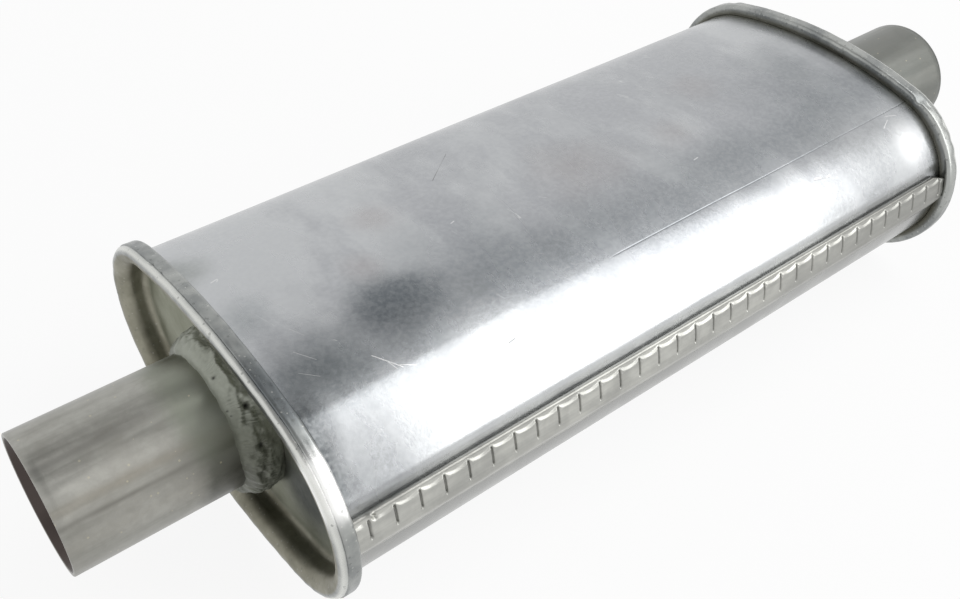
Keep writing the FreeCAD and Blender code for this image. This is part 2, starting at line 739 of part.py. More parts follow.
def end_baffle(end):
    body = new_body(end + "_baffle")
    flange_start = "dims.end_chamber + dims.baffle_sheet - dims.baffle_flange"
    oval_pad(
        body, end + "_baffle_plate", slab_start(end, "dims.end_chamber", "dims.baffle_sheet"),
        "dims.baffle_sheet", LINED,
    )
    oval_pad(
        body, end + "_baffle_flange", slab_start(end, flange_start, "dims.baffle_flange"),
        "dims.baffle_flange", LINED, f"{LINED} - dims.baffle_sheet",
    )
    collar_start = "dims.end_chamber - dims.baffle_collar"
    round_pad(
        body, end + "_baffle_collars",
        slab_start(end, collar_start, "dims.baffle_collar"), "dims.baffle_collar",
        baffle_circles(True, "dims.baffle_sheet"),
    )
    round_holes(
        body, end + "_baffle_holes",
        slab_start(end, collar_start, "dims.baffle_collar + dims.baffle_sheet"),
        baffle_circles(True),
    )
    return body


def centre_baffle():
    body = new_body("center_baffle")
    middle = f"{station('inlet', 'dims.body_length / 2')} - dims.baffle_sheet / 2"
    oval_pad(body, "center_plate", middle, "dims.baffle_sheet", LINED)
    oval_pad(
        body, "center_flange", middle, "dims.baffle_flange", LINED, f"{LINED} - dims.baffle_sheet"
    )
    round_holes(body, "center_holes", middle, baffle_circles(False))
    return body


# Transfer tubes: carry the gas past the packed middle, from one end chamber to the other


def transfer_tube(side, sign):
    body = new_body(side + "_transfer_tube")
    across = f"{sign}dims.transfer_offset"
    length = f"{BAFFLE_SPAN} + dims.baffle_sheet + 2 * dims.transfer_tail"
    start = station("inlet", "dims.end_chamber - dims.transfer_tail")
    bore = "dims.transfer_od / 2 - dims.transfer_wall"
    round_pad(body, side + "_transfer", start, length, [("dims.transfer_od / 2", "0"), (bore, "0")])
    rows_length = f"{TRANSFER_SLOT_ROWS - 1} * dims.transfer_slot_pitch + dims.transfer_slot_length"
    radial_slots(
        body, side + "_transfer_slots",
        f"{station('inlet', 'dims.body_length / 2')} - ({rows_length}) / 2",
        "dims.transfer_slot_pitch", TRANSFER_SLOT_ROWS, "dims.transfer_slot_length",
        "dims.transfer_slot_width", "dims.transfer_od / 2", "dims.transfer_wall",
        TRANSFER_SLOT_COUNT,
    )
    body.setExpression(".Placement.Base.y", across)
    return body


# Packing: a block of glass wool in each half of the middle chamber, round the transfer tubes


def packing(end):
    body = new_body(end + "_packing")
    length = f"{BAFFLE_SPAN} / 2 - dims.baffle_sheet - 2 * dims.packing_gap"
    face = "dims.end_chamber + dims.baffle_sheet + dims.packing_gap"
    start = slab_start(end, face, length)
    oval_pad(
        body, end + "_wool", start, length, f"{LINED} - dims.baffle_sheet - dims.packing_gap"
    )
    tube_room = "dims.transfer_od / 2 + dims.packing_gap"
    round_holes(
        body, end + "_wool_holes", start,
        [(tube_room, "dims.transfer_offset"), (tube_room, "-dims.transfer_offset")],
    )
    sketch = sketch_on(
        body, "YZ_Plane", end + "_core_room_outline", slab_start(end, face, "dims.core_tail")
    )
    add_circle(sketch, f"{CORE_RADIUS} + dims.packing_gap")
    core_room = body.newObject("PartDesign::Pocket", end + "_core_room")
    core_room.Profile = sketch
    core_room.Reversed = True
    core_room.setExpression("Length", "dims.core_tail")
    return body


for end_name in ("inlet", "outlet"):
    core_tube(end_name)
    core_plug(end_name)
    tack_ring(end_name)
    end_baffle(end_name)
    packing(end_name)
centre_baffle()
transfer_tube("right", "-")
transfer_tube("left", "")

NODES = [
    "outer_shell", "inner_shell", "inlet_head", "outlet_head", "inlet_pipe", "outlet_pipe",
    "inlet_weld", "outlet_weld", "inlet_core_tube", "outlet_core_tube", "inlet_core_plug",
    "outlet_core_plug", "inlet_core_tacks", "outlet_core_tacks", "inlet_baffle", "center_baffle",
    "outlet_baffle", "left_transfer_tube", "right_transfer_tube", "inlet_packing", "outlet_packing",
]

# Rebuild, check and write

doc.recompute()
failed = [obj.Name for obj in doc.Objects if "Invalid" in obj.State or "Error" in obj.State]
if failed:
    raise RuntimeError("objects that did not rebuild: " + ", ".join(failed))

os.makedirs("parts", exist_ok=True)
for node in NODES:
    part = doc.getObjectsByLabel(node)[0]
    shape = part.Shape
    if shape.isNull() or not shape.isValid() or not shape.Solids:
        raise RuntimeError(f"{node} has no valid solid")
    print(f"{node}: {len(shape.Solids)} solid(s), {shape.Volume / 1000:.2f} cm3")
for node in NODES:
    doc.getObjectsByLabel(node)[0].Shape.exportStep(f"parts/{node}.step")
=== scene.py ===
# %% [markdown]
# # An oval exhaust muffler
# This lesson dresses a finished engineering model of a small exhaust muffler so that it looks like
# the real thing. The solids are already exact, so nothing here may move or resize them. What we add
# is what metal looks like close up: rolled rims, a staked lock seam, lumpy welds and sheet that has
# been handled. We start by loading the solids as a fixed frame.

# %% Load the frame
import math

import bmesh
import bpy
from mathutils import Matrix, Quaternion, Vector, noise


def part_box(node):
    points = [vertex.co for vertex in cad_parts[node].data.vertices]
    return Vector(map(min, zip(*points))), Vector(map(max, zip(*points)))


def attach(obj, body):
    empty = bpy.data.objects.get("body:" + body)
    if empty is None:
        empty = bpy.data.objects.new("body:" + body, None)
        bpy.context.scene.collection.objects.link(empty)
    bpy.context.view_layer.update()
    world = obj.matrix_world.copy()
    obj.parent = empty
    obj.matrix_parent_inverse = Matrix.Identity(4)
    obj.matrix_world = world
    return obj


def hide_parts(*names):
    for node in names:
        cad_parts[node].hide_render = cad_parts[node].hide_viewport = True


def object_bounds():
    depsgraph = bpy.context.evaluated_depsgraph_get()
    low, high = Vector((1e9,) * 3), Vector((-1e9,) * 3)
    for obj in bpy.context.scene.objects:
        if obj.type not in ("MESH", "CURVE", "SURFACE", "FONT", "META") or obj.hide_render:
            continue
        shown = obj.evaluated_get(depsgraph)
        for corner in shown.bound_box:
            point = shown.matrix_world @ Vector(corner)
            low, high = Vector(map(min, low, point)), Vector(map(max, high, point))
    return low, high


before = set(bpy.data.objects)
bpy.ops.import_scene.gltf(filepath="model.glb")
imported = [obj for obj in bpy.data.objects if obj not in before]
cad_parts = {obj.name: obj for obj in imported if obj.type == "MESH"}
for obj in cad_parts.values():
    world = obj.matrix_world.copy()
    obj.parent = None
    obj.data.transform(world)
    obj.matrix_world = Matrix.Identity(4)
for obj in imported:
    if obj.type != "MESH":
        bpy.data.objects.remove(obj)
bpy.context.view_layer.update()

# %% [markdown]
# ## Sizes read from the frame
# The main sizes come from the solids' own boxes. Only the two thicknesses and the flank's radius are
# typed, as the solids have them. The shell's outer face isn't a box corner, because the lock seam and
# the turned ends stand proud of it, but the inner ply's box is clean, so the oval is that box grown
# by one ply and its gap.

# %% Read the main sizes
MM = 0.001
PLY = 0.9 * MM
SHEET = 0.8 * MM
FLANK_RADIUS = 36.5 * MM

liner_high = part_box("inner_shell")[1]
HALF_WIDTH = liner_high.y + PLY
HALF_HEIGHT = liner_high.z + PLY
inlet_head_low, inlet_head_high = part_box("inlet_head")
outlet_head_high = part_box("outlet_head")[1]
INLET_FACE = inlet_head_low.x
OUTLET_FACE = outlet_head_high.x
RIM_HEIGHT = inlet_head_high.y - HALF_WIDTH
INLET_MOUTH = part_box("inlet_pipe")[0].x
OUTLET_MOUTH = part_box("outlet_pipe")[1].x
PIPE_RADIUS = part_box("inlet_pipe")[1].y
print("oval half sizes:", round(HALF_WIDTH / MM, 2), round(HALF_HEIGHT / MM, 2), "mm")
print("rim stands off by", round(RIM_HEIGHT / MM, 2), "mm")

# %% [markdown]
# ## Camera
# The photo looks down on the near end from the lock seam's side. A camera is a place, a direction
# and a focal length. The direction is given as an azimuth and an elevation, as one would point a
# tripod head, and a small roll that the photo has too.

# %% Place the camera
CAMERA_PLACE = Vector((-0.0257, -0.2465, 0.2801))
CAMERA_AZIMUTH = math.radians(-39.6)
CAMERA_ELEVATION = math.radians(42.09)
CAMERA_ROLL = math.radians(1.88)
CAMERA_LENS = 40.52

scene = bpy.context.scene
scene.view_settings.view_transform = "Standard"
camera = bpy.data.objects.new("camera", bpy.data.cameras.new("camera"))
scene.collection.objects.link(camera)
scene.camera = camera
camera.data.lens = CAMERA_LENS
camera.data.clip_start = 0.01
camera.location = CAMERA_PLACE
camera_back = Vector((
    math.sin(CAMERA_AZIMUTH) * math.cos(CAMERA_ELEVATION),
    -math.cos(CAMERA_AZIMUTH) * math.cos(CAMERA_ELEVATION),
    math.sin(CAMERA_ELEVATION),
))
camera.rotation_mode = "QUATERNION"
roll = Quaternion((0, 0, 1), CAMERA_ROLL)
camera.rotation_quaternion = (-camera_back).to_track_quat("-Z", "Y") @ roll
print("camera at", [round(v, 3) for v in camera.location])

# %% [markdown]
# ## Points on the oval
# The body's section is four arcs that meet smoothly: two tight flanks and two flat crowns. One
# helper gives the point at any share of the way round together with its outward normal. A second
# grid line at some height above the sheet is then simply the same point moved along its normal,
# which is also how real folded layers sit on each other.

# %% The four-arc oval
flank_centre = HALF_WIDTH - FLANK_RADIUS
CROWN_RADIUS = (flank_centre**2 + HALF_HEIGHT**2 - FLANK_RADIUS**2) / (2 * (HALF_HEIGHT - FLANK_RADIUS))
crown_centre = CROWN_RADIUS - HALF_HEIGHT
joint_angle = math.atan2(crown_centre, flank_centre)
flank_arc = FLANK_RADIUS * joint_angle
crown_arc = CROWN_RADIUS * (math.pi / 2 - joint_angle)
QUARTER = flank_arc + crown_arc
PERIMETER = 4 * QUARTER


def oval(share):
    """Return y, z and the outward normal at a share of the way round from the +Y tip upwards."""
    run = (share % 1.0) * PERIMETER
    quarter, run = divmod(run, QUARTER)
    if quarter in (1, 3):
        run = QUARTER - run
    if run < flank_arc:
        angle = run / FLANK_RADIUS
        y = flank_centre + FLANK_RADIUS * math.cos(angle)
        z = FLANK_RADIUS * math.sin(angle)
    else:
        angle = joint_angle + (run - flank_arc) / CROWN_RADIUS
        y = CROWN_RADIUS * math.cos(angle)
        z = CROWN_RADIUS * math.sin(angle) - crown_centre
    side = 1 if quarter in (0, 3) else -1
    level = 1 if quarter in (0, 1) else -1
    return y * side, z * level, math.cos(angle) * side, math.sin(angle) * level


print("perimeter", round(PERIMETER / MM, 1), "mm, crown radius", round(CROWN_RADIUS / MM, 1), "mm")

# %% [markdown]
# ## Joining rings into skins
# Most pieces here are rings of points joined to their neighbours, like hoops under a cloth. Two
# helpers do all of it: one stitches rings into quads, the other turns the result into an object.

# %% Ring and mesh helpers


def stitch(rings, close_rings=False):
    """Join rings of equal length into quads. Rings are loops; close_rings joins last to first."""
    vertices = [point for ring in rings for point in ring]
    count = len(rings[0])
    faces = []
    pairs = len(rings) if close_rings else len(rings) - 1
    for row in range(pairs):
        here = row * count
        there = ((row + 1) % len(rings)) * count
        for column in range(count):
            after = (column + 1) % count
            faces.append((here + column, here + after, there + after, there + column))
    return vertices, faces


def make_object(name, vertices, faces):
    """Make a smooth mesh object whose faces all point outwards."""
    mesh = bpy.data.meshes.new(name)
    mesh.from_pydata(vertices, [], faces)
    shape = bmesh.new()
    shape.from_mesh(mesh)
    bmesh.ops.recalc_face_normals(shape, faces=shape.faces)
    shape.to_mesh(mesh)
    shape.free()
    for polygon in mesh.polygons:
        polygon.use_smooth = True
    made = bpy.data.objects.new(name, mesh)
    scene.collection.objects.link(made)
    return made


# %% [markdown]
# ## The wrapped shell
# The shell is thin sheet pulled round a former, so it is never quite true. The surface gets slow
# waves a fraction of a millimetre high, which is what makes reflections in sheet metal wander. Places
# on it are named by their run, the way along the sheet from the near tip upwards, because that is
# how one measures on a curved sheet. The rings crowd where something fine happens: at the hairline,
# where the ply below ends, and above the lock seam, where the sheet dips before it folds.

# %% Where the shell's rings stand
RIM_WIDTH = 7.6 * MM
SHELL_AROUND = 220
SHELL_ALONG = 150
HAIRLINE_RUN = 48.0 * MM
HAIRLINE_ROWS = (-0.9, -0.45, -0.25, -0.12, 0.0, 0.12, 0.25, 0.45, 0.9)
HAIRLINE_ROOM = 1.5 * MM
DIP_TOP = 18.5 * MM
DIP_STEP = 0.6 * MM
DIP_STEPS = 14


def smooth(value):
    """Ease from 0 to 1 between 0 and 1."""
    value = max(0.0, min(1.0, value))
    return value * value * (3 - 2 * value)


def hump(value, middle, width):
    """Return a soft bump that is 1 at its middle."""
    return math.exp(-(((value - middle) / width) ** 2))


def dimple(aside, beside, size):
    """Return a round soft bump that is 1 at its middle."""
    gap = math.hypot(aside, beside) / size
    return math.exp(-gap * gap)


def shell_runs():
    """Return the runs at which the shell has a row of points, from -half to +half the way round."""
    runs = [PERIMETER * (step / SHELL_AROUND - 0.5) for step in range(SHELL_AROUND)]
    runs = [run for run in runs if abs(run - HAIRLINE_RUN) > HAIRLINE_ROOM]
    runs += [HAIRLINE_RUN + row * MM for row in HAIRLINE_ROWS]
    runs += [DIP_TOP + DIP_STEP - DIP_STEP * step for step in range(DIP_STEPS)]
    return sorted(runs)


print("rows round the shell:", len(shell_runs()))

# %% [markdown]
# Four small terms make the skin: the slow wave, the groove of the hairline, the dip above the seam
# and a flare at both ends, where the sheet is turned out into the rims.

# %% Build the shell skin
SHELL_TUCK = 3.0 * MM
WAVE_HEIGHT = 0.16 * MM
WAVE_LENGTH = 62 * MM
HAIRLINE_START = 198 * MM
HAIRLINE_DEEP = 0.14 * MM
HAIRLINE_WIDE = 0.15 * MM
HAIRLINE_WANDER = 0.3 * MM
HAIRLINE_LENGTH = 34.0 * MM
HAIRLINE_EASE = 6.0 * MM
DIP_DEEP = 0.55 * MM
DIP_RUN = 4.0 * MM
DIP_FOOT = 1.0 * MM
DIP_RISE = 7.0 * MM
FLARE_HEIGHT = 0.30 * MM
FLARE_RUN = 5.0 * MM


def sheet_wave(x, y, z):
    """Return how far the sheet wanders from the true oval at a place."""
    place = Vector((x * 0.6, y, z)) / WAVE_LENGTH
    return WAVE_HEIGHT * noise.noise(place)


def hairline_run(x):
    """Return where the hairline lies, which isn't quite straight."""
    return HAIRLINE_RUN + HAIRLINE_WANDER * noise.noise(Vector((x / HAIRLINE_LENGTH, 2.5, 0)))


def in_hairline(x, run):
    """Return 1 in the middle of the hairline and 0 away from it or before its start."""
    return hump(run, hairline_run(x), HAIRLINE_WIDE) * smooth((x - HAIRLINE_START) / HAIRLINE_EASE)


def end_flare(x):
    """Return how far the sheet is turned out near either rim."""
    gap = min(x - INLET_FACE, OUTLET_FACE - x) - RIM_WIDTH
    share = min(1.0, max(0.0, gap / FLARE_RUN))
    return FLARE_HEIGHT * (1 - share) ** 2


def skin_lift(x, run, y, z):
    """Return how far the shell's outside stands off the true oval."""
    lift = sheet_wave(x, y, z) + end_flare(x)
    lift -= HAIRLINE_DEEP * in_hairline(x, run)
    lift -= DIP_DEEP * smooth((DIP_TOP - run) / DIP_RUN) * smooth((run - DIP_FOOT) / DIP_RISE)
    return lift


def shell_ring(x, runs, inside):
    """Return one ring of the shell, of its outside or its inside."""
    ring = []
    for run in runs:
        if abs(run - HAIRLINE_RUN) < HAIRLINE_ROOM:
            run += hairline_run(x) - HAIRLINE_RUN
        y, z, across, up = oval(0.5 - run / PERIMETER)
        lift = -SHEET if inside else skin_lift(x, run, y, z)
        ring.append((x, y + across * lift, z + up * lift))
    return ring


shell_start = INLET_FACE + SHELL_TUCK
shell_end = OUTLET_FACE - SHELL_TUCK
runs = shell_runs()
outside = [
    shell_ring(shell_start + (shell_end - shell_start) * step / SHELL_ALONG, runs, False)
    for step in range(SHELL_ALONG + 1)
]
inside = [shell_ring(x, runs, True) for x in (shell_end, shell_start)]
shell = make_object("shell_skin", *stitch(outside + inside, close_rings=True))
print("shell skin faces:", len(shell.data.polygons))

# %% [markdown]
# ## Rims and heads
# Each end is a pressed head rolled over the shell: a flat plate set back in a recess, a short wall
# that opens in a wide bend, a rounded lip, an outer band that starts behind a sharp crease, and a
# rounded back edge. Its section is one closed outline, and the ring helper carries it round the
# oval. Near the pipe the rings change from oval to round, so the plate needs no separate piece.

# %% Outline of a rolled rim
HEAD_AROUND = 420
MOUTH_RADIUS = 5.5 * MM
LIP_RADIUS = 2.2 * MM
LIP_STEP = 0.4 * MM
BACK_RADIUS = 1.6 * MM
RECESS_RADIUS = 3.0 * MM
RECESS_DEPTH = 10.5 * MM
HEAD_SHEET = 1.5 * MM
WALL_OFFSET = -3.3 * MM
SEAM_CLEAR = 0.4 * MM
# The crease between lip and band as depth in millimetres and height below the lip or the band
CREASE_FOOT = ((2.26, 0.0), (2.36, 0.30), (2.50, 0.35))
CREASE_TOP = ((2.56, 0.10), (2.70, 0.0), (3.80, 0.0), (4.90, 0.0))


def bend(centre_x, centre_offset, radius, begin, end, steps):
    """Return outline points along an arc. Angles in degrees, 0 deepens, 90 points off the shell."""
    points = []
    for step in range(steps + 1):
        angle = math.radians(begin + (end - begin) * step / steps)
        points.append((centre_x + radius * math.cos(angle), centre_offset + radius * math.sin(angle)))
    return points


def rim_outline():
    """Return the visible outline of a head as depth behind its face and height off the shell."""
    top = RIM_HEIGHT
    lip = top - LIP_STEP
    outline = bend(RECESS_DEPTH - RECESS_RADIUS, WALL_OFFSET - RECESS_RADIUS, RECESS_RADIUS, 0, 90, 6)
    outline += bend(MOUTH_RADIUS, WALL_OFFSET + MOUTH_RADIUS, MOUTH_RADIUS, 270, 180, 12)
    outline += bend(LIP_RADIUS, lip - LIP_RADIUS, LIP_RADIUS, 180, 90, 8)
    outline += [(depth * MM, lip - below * MM) for depth, below in CREASE_FOOT]
    outline += [(depth * MM, top - below * MM) for depth, below in CREASE_TOP]
    outline += bend(RIM_WIDTH - BACK_RADIUS, top - BACK_RADIUS, BACK_RADIUS, 90, 0, 6)
    outline += [(RIM_WIDTH, SEAM_CLEAR), (RIM_WIDTH - HEAD_SHEET, SEAM_CLEAR)]
    return outline


print("rim outline points:", len(rim_outline()))

# %% [markdown]
# The roller leaves the rim slightly uneven, so each ring point is nudged by a slow and a fine noise
# that run round the oval. The nudge only ever goes inwards, because the rim's true size is its
# largest. Knocks from use come on top, each a soft hollow at its own place.

# %% Build the two heads
LUMP_HEIGHT = 0.20 * MM
LUMP_LENGTH = 9 * MM
HAMMER_HEIGHT = 0.10 * MM
HAMMER_LENGTH = 3 * MM
PLATE_HOLE = 26.4 * MM
PLATE_RINGS = 6
PLATE_EDGE = WALL_OFFSET - RECESS_RADIUS
# Knocks as run from the near tip upwards, depth, size along the run, size in depth, and how deep
INLET_KNOCKS = (
    (133.0, 2.6, 1.6, 1.3, 0.55),
    (129.0, 4.4, 1.0, 1.0, 0.35),
    (126.0, 3.0, 1.3, 1.4, 0.50),
    (137.5, 4.8, 1.1, 0.9, 0.30),
    (193.0, 2.2, 1.1, 1.3, 0.60),
    (198.5, 2.4, 0.9, 1.2, 0.50),
    (178.0, 2.0, 1.4, 1.2, 0.30),
    (95.0, 0.6, 0.5, 0.6, 0.25),
    (91.0, 0.7, 0.6, 0.5, 0.22),
    (88.0, 0.5, 0.5, 0.6, 0.25),
    (61.0, 5.6, 2.4, 1.0, 0.25),
)
OUTLET_KNOCKS = (
    (44.0, 6.4, 1.6, 2.2, 0.90),
    (40.5, 4.6, 1.2, 1.4, 0.45),
    (31.0, 2.4, 2.0, 1.6, 0.45),
    (24.5, 1.6, 1.6, 1.4, 0.35),
    (18.0, 2.0, 2.2, 1.4, 0.50),
    (150.0, 3.0, 2.0, 1.6, 0.40),
)


def knock_depth(run, depth, knocks):
    """Return how deep the knocks are at a place on the rim."""
    total = 0
    for at_run, at_depth, along, behind, deep in knocks:
        aside = (run / MM - at_run) / along
        if abs(aside) < 3:
            total += deep * MM * math.exp(-(aside**2) - ((depth / MM - at_depth) / behind) ** 2)
    return total


def head_ring(face, inward, depth, height):
    """Return one oval ring of a head, nudged unevenly where it stands off the shell."""
    ring = []
    knocks = INLET_KNOCKS if inward > 0 else OUTLET_KNOCKS
    for step in range(HEAD_AROUND):
        share = step / HEAD_AROUND
        y, z, across, up = oval(share)
        lump = 0
        if height > SEAM_CLEAR:
            place = Vector((face + depth, y, z))
            lump = LUMP_HEIGHT * abs(noise.noise(place / LUMP_LENGTH))
            lump += HAMMER_HEIGHT * abs(noise.noise(place / HAMMER_LENGTH))
            lump += knock_depth((0.5 - share) % 1.0 * PERIMETER, depth, knocks)
        lift = height - lump
        ring.append((face + inward * (depth + lump), y + across * lift, z + up * lift))
    return ring


def plate_ring(face, inward, depth, share):
    """Return a ring of the plate, oval at its edge and round at the pipe's hole."""
    ring = []
    for step in range(HEAD_AROUND):
        y, z, across, up = oval(step / HEAD_AROUND)
        edge = Vector((y + across * PLATE_EDGE, z + up * PLATE_EDGE))
        hole = edge.normalized() * PLATE_HOLE
        point = edge.lerp(hole, share)
        ring.append((face + inward * depth, point.x, point.y))
    return ring


def build_head(name, face, inward):
    """Carry the rim's outline round the oval and close it behind the plate."""
    plate_back = RECESS_DEPTH + HEAD_SHEET
    rings = [plate_ring(face, inward, RECESS_DEPTH, 1 - step / PLATE_RINGS) for step in range(PLATE_RINGS)]
    rings += [head_ring(face, inward, depth, height) for depth, height in rim_outline()]
    rings += [head_ring(face, inward, RIM_WIDTH - HEAD_SHEET, WALL_OFFSET + HEAD_SHEET)]
    rings += [head_ring(face, inward, plate_back, WALL_OFFSET + HEAD_SHEET)]
    rings += [plate_ring(face, inward, plate_back, step / PLATE_RINGS) for step in (0, PLATE_RINGS)]
    return make_object(name, *stitch(rings, close_rings=True))


inlet_rim = build_head("inlet_rim", INLET_FACE, 1)
outlet_rim = build_head("outlet_rim", OUTLET_FACE, -1)
print("head faces:", len(inlet_rim.data.polygons))

# %% [markdown]
# ## Pipe stubs
# A stub is a tube with a sawn mouth. A long straight outline is enough for the wall, but the mouth's
# two edges are broken by a tiny bevel, because a cut edge always catches a thread of light.

# %% Build the pipe stubs
PIPE_AROUND = 192
PIPE_ALONG = 24
PIPE_WALL = 1.5 * MM
MOUTH_BEVEL = 0.25 * MM
NECK_DEPTH = 12.0 * MM
PIPE_WAVE = 0.10 * MM


def pipe_ring(x, radius):
    """Return one ring of a stub, which is a little out of round."""
    ring = []
    for step in range(PIPE_AROUND):
        angle = 2 * math.pi * step / PIPE_AROUND
        place = Vector((x * 8, math.cos(angle), math.sin(angle)))
        reach = radius - PIPE_WAVE * abs(noise.noise(place * 1.4))
        ring.append((x, reach * math.cos(angle), reach * math.sin(angle)))
    return ring


def build_pipe(name, mouth, face, inward):
    """Make a stub from its bore over the bevelled mouth and back along its outside."""
    inner = PIPE_RADIUS - PIPE_WALL
    tail = face + inward * NECK_DEPTH
    rings = [pipe_ring(tail, inner), pipe_ring(mouth + inward * MOUTH_BEVEL, inner)]
    rings += [pipe_ring(mouth, inner + MOUTH_BEVEL), pipe_ring(mouth, PIPE_RADIUS - MOUTH_BEVEL)]
    start = mouth + inward * MOUTH_BEVEL
    for step in range(PIPE_ALONG + 1):
        rings.append(pipe_ring(start + (tail - start) * step / PIPE_ALONG, PIPE_RADIUS))
    return make_object(name, *stitch(rings, close_rings=True))


inlet_stub = build_pipe("inlet_stub", INLET_MOUTH, INLET_FACE, 1)
outlet_stub = build_pipe("outlet_stub", OUTLET_MOUTH, OUTLET_FACE, -1)
print("pipe faces:", len(inlet_stub.data.polygons))

# %% [markdown]
# ## Welds
# The bead was laid by hand in short runs, so its crown climbs and sinks, one edge wanders over the
# pipe, and a few pits stay open. It is a ring whose section is a fillet. Two noises move its toe
# along the pipe, as the hand did, three more raise its runs, its lumps and its skin, and a wandering
# sine adds ripples. The marks that catch the eye, a crest and some pits near the top, are then added
# one by one as soft bumps and hollows.

# %% Build the weld beads
WELD_AROUND = 720
WELD_ACROSS = 56
BEAD_TOE = 3.4 * MM
BEAD_CROWN = 4.9 * MM
BEAD_FOOT = 6.2 * MM
BEAD_SINK = 0.6 * MM
HAND_WAVE = 1.1 * MM
TOE_WAVE = 0.55 * MM
RUN_WAVE = 1.0 * MM
LUMP_WAVE = 0.75 * MM
SKIN_WAVE = 0.22 * MM
RIPPLE_HEIGHT = 0.19 * MM
RIPPLES = 150
RIPPLE_WANDER = 5
RIPPLE_LEAN = 9
HAND_FINER = 1.7
TOE_FINER = 7
LUMPS_ROUND = 5
LUMPS_ALONG = 2.4
LUMP_FINER = 2.3
SKIN_FINER = 5
TOE_ROUND = 2.3
TOE_STEEP = 25
THIN_ANGLE = 185
THIN_WIDE = 48
THIN_BY = 2.8 * MM
CREST_HEIGHT = 0.9 * MM
CREST_WIDTH = 1.3 * MM
# Crest line of the inlet bead as angle round the pipe in degrees and depth behind the rim's face
CREST_LINE = ((92, 3.0), (101, 1.7), (122, 2.4), (136, 0.6), (151, -2.4), (176, -1.6), (205, 1.0))
# Marks as angle, depth, size across and height, in degrees and millimetres
INLET_MARKS = (
    (132, -2.1, 0.45, -0.9),
    (136, -1.7, 0.35, -0.7),
    (134, 3.6, 0.95, -2.6),
    (139, 3.3, 1.0, 1.1),
    (149, 1.6, 1.2, 1.0),
    (127, 4.0, 1.1, 0.7),
    (108, -0.9, 0.8, -0.8),
    (67, 5.2, 2.6, 0.9),
    (84, 6.0, 0.9, -1.2),
    (161, 3.0, 1.4, -0.8),
    (250, 2.0, 0.5, -1.0),
    (310, 1.0, 0.9, 0.8),
)
OUTLET_MARKS = ((40, 2.5, 1.2, 0.9), (75, 3.0, 0.5, -1.3), (150, 1.0, 1.1, -0.8), (280, 3.0, 1.0, 0.9))


def crest_depth(degrees):
    """Return the depth of the crest line at an angle, or None beyond its ends."""
    for (left, start), (right, end) in zip(CREST_LINE, CREST_LINE[1:]):
        if left <= degrees < right:
            return (start + (end - start) * (degrees - left) / (right - left)) * MM
    return None


def bead_marks(degrees, depth, reach, marks):
    """Return the height of the single marks and the crest at a place on the bead."""
    height = 0
    for mark_angle, mark_depth, size, rise in marks:
        aside = math.radians(degrees - mark_angle) * reach
        height += rise * MM * dimple(aside, depth - mark_depth * MM, size * MM)
    crest = crest_depth(degrees) if marks is INLET_MARKS else None
    if crest is not None:
        height += CREST_HEIGHT * hump(depth, crest, CREST_WIDTH)
    return height


def bead_lumps(angle, share, seed):
    """Return the height of the lumps and ripples at a place on the bead."""
    spot = Vector((math.cos(angle) * LUMPS_ROUND, math.sin(angle) * LUMPS_ROUND, share * LUMPS_ALONG + seed))
    lumps = RUN_WAVE * noise.noise(spot) + LUMP_WAVE * noise.noise(spot * LUMP_FINER)
    lumps += SKIN_WAVE * noise.noise(spot * SKIN_FINER)
    phase = RIPPLES * angle + RIPPLE_WANDER * noise.noise(spot * 1.5) - RIPPLE_LEAN * share
    rippled = smooth(0.5 + 2 * noise.noise(spot * 0.8)) * smooth(share * 6) * smooth((0.8 - share) * 4)
    return lumps + RIPPLE_HEIGHT * math.sin(phase) * rippled


def weld_point(face, inward, angle, share, seed, marks):
    """Return a point of the bead at an angle round the pipe and a share from toe to foot."""
    ring_place = Vector((math.cos(angle), math.sin(angle), seed))
    toe = BEAD_TOE + HAND_WAVE * noise.noise(ring_place * HAND_FINER)
    toe += TOE_WAVE * noise.noise(ring_place * TOE_FINER)
    depth = -toe + (RECESS_DEPTH + toe) * share
    rise = math.sin(math.pi / 2 * min(1.0, share * TOE_ROUND)) ** 0.7
    degrees = math.degrees(angle)
    foot = BEAD_FOOT - (THIN_BY * hump(degrees, THIN_ANGLE, THIN_WIDE) if marks is INLET_MARKS else 0)
    crown = BEAD_CROWN * rise + (foot - BEAD_CROWN) * share**3
    lumps = bead_lumps(angle, share, seed)
    lumps += bead_marks(degrees, depth, PIPE_RADIUS + crown, marks)
    edge = min(1.0, share * TOE_STEEP)
    reach = PIPE_RADIUS - BEAD_SINK + (BEAD_SINK + crown) * edge + lumps * rise * (1 - share**6)
    return (face + inward * depth, reach * math.cos(angle), reach * math.sin(angle))


def build_weld(name, face, inward, seed, marks):
    """Make a bead from its toe on the pipe to its foot on the head, closed behind."""
    turns = [2 * math.pi * step / WELD_AROUND for step in range(WELD_AROUND)]
    rings = [
        [weld_point(face, inward, angle, row / WELD_ACROSS, seed, marks) for angle in turns]
        for row in range(WELD_ACROSS + 1)
    ]
    root = PIPE_RADIUS - BEAD_SINK
    back = face + inward * (RECESS_DEPTH + SEAM_CLEAR)
    rings.append([(back, root * math.cos(angle), root * math.sin(angle)) for angle in turns])
    return make_object(name, *stitch(rings, close_rings=True))


inlet_bead = build_weld("inlet_bead", INLET_FACE, 1, 3.7, INLET_MARKS)
outlet_bead = build_weld("outlet_bead", OUTLET_FACE, -1, 8.2, OUTLET_MARKS)
print("bead faces:", len(inlet_bead.data.polygons))

# %% [markdown]
# ## The staked lock seam
# Along the near flank the sheet's edges fold into each other, and a toothed wheel has pressed a
# narrow mark across the fold at every pitch. Between two marks the sheet bulges like a small pillow
# whose upper edge sags like a hung chain. Everything repeats, so one pitch is modelled as a tile. The
# tile is a strip of rings again, whose section is the folded band seen from its cut end.

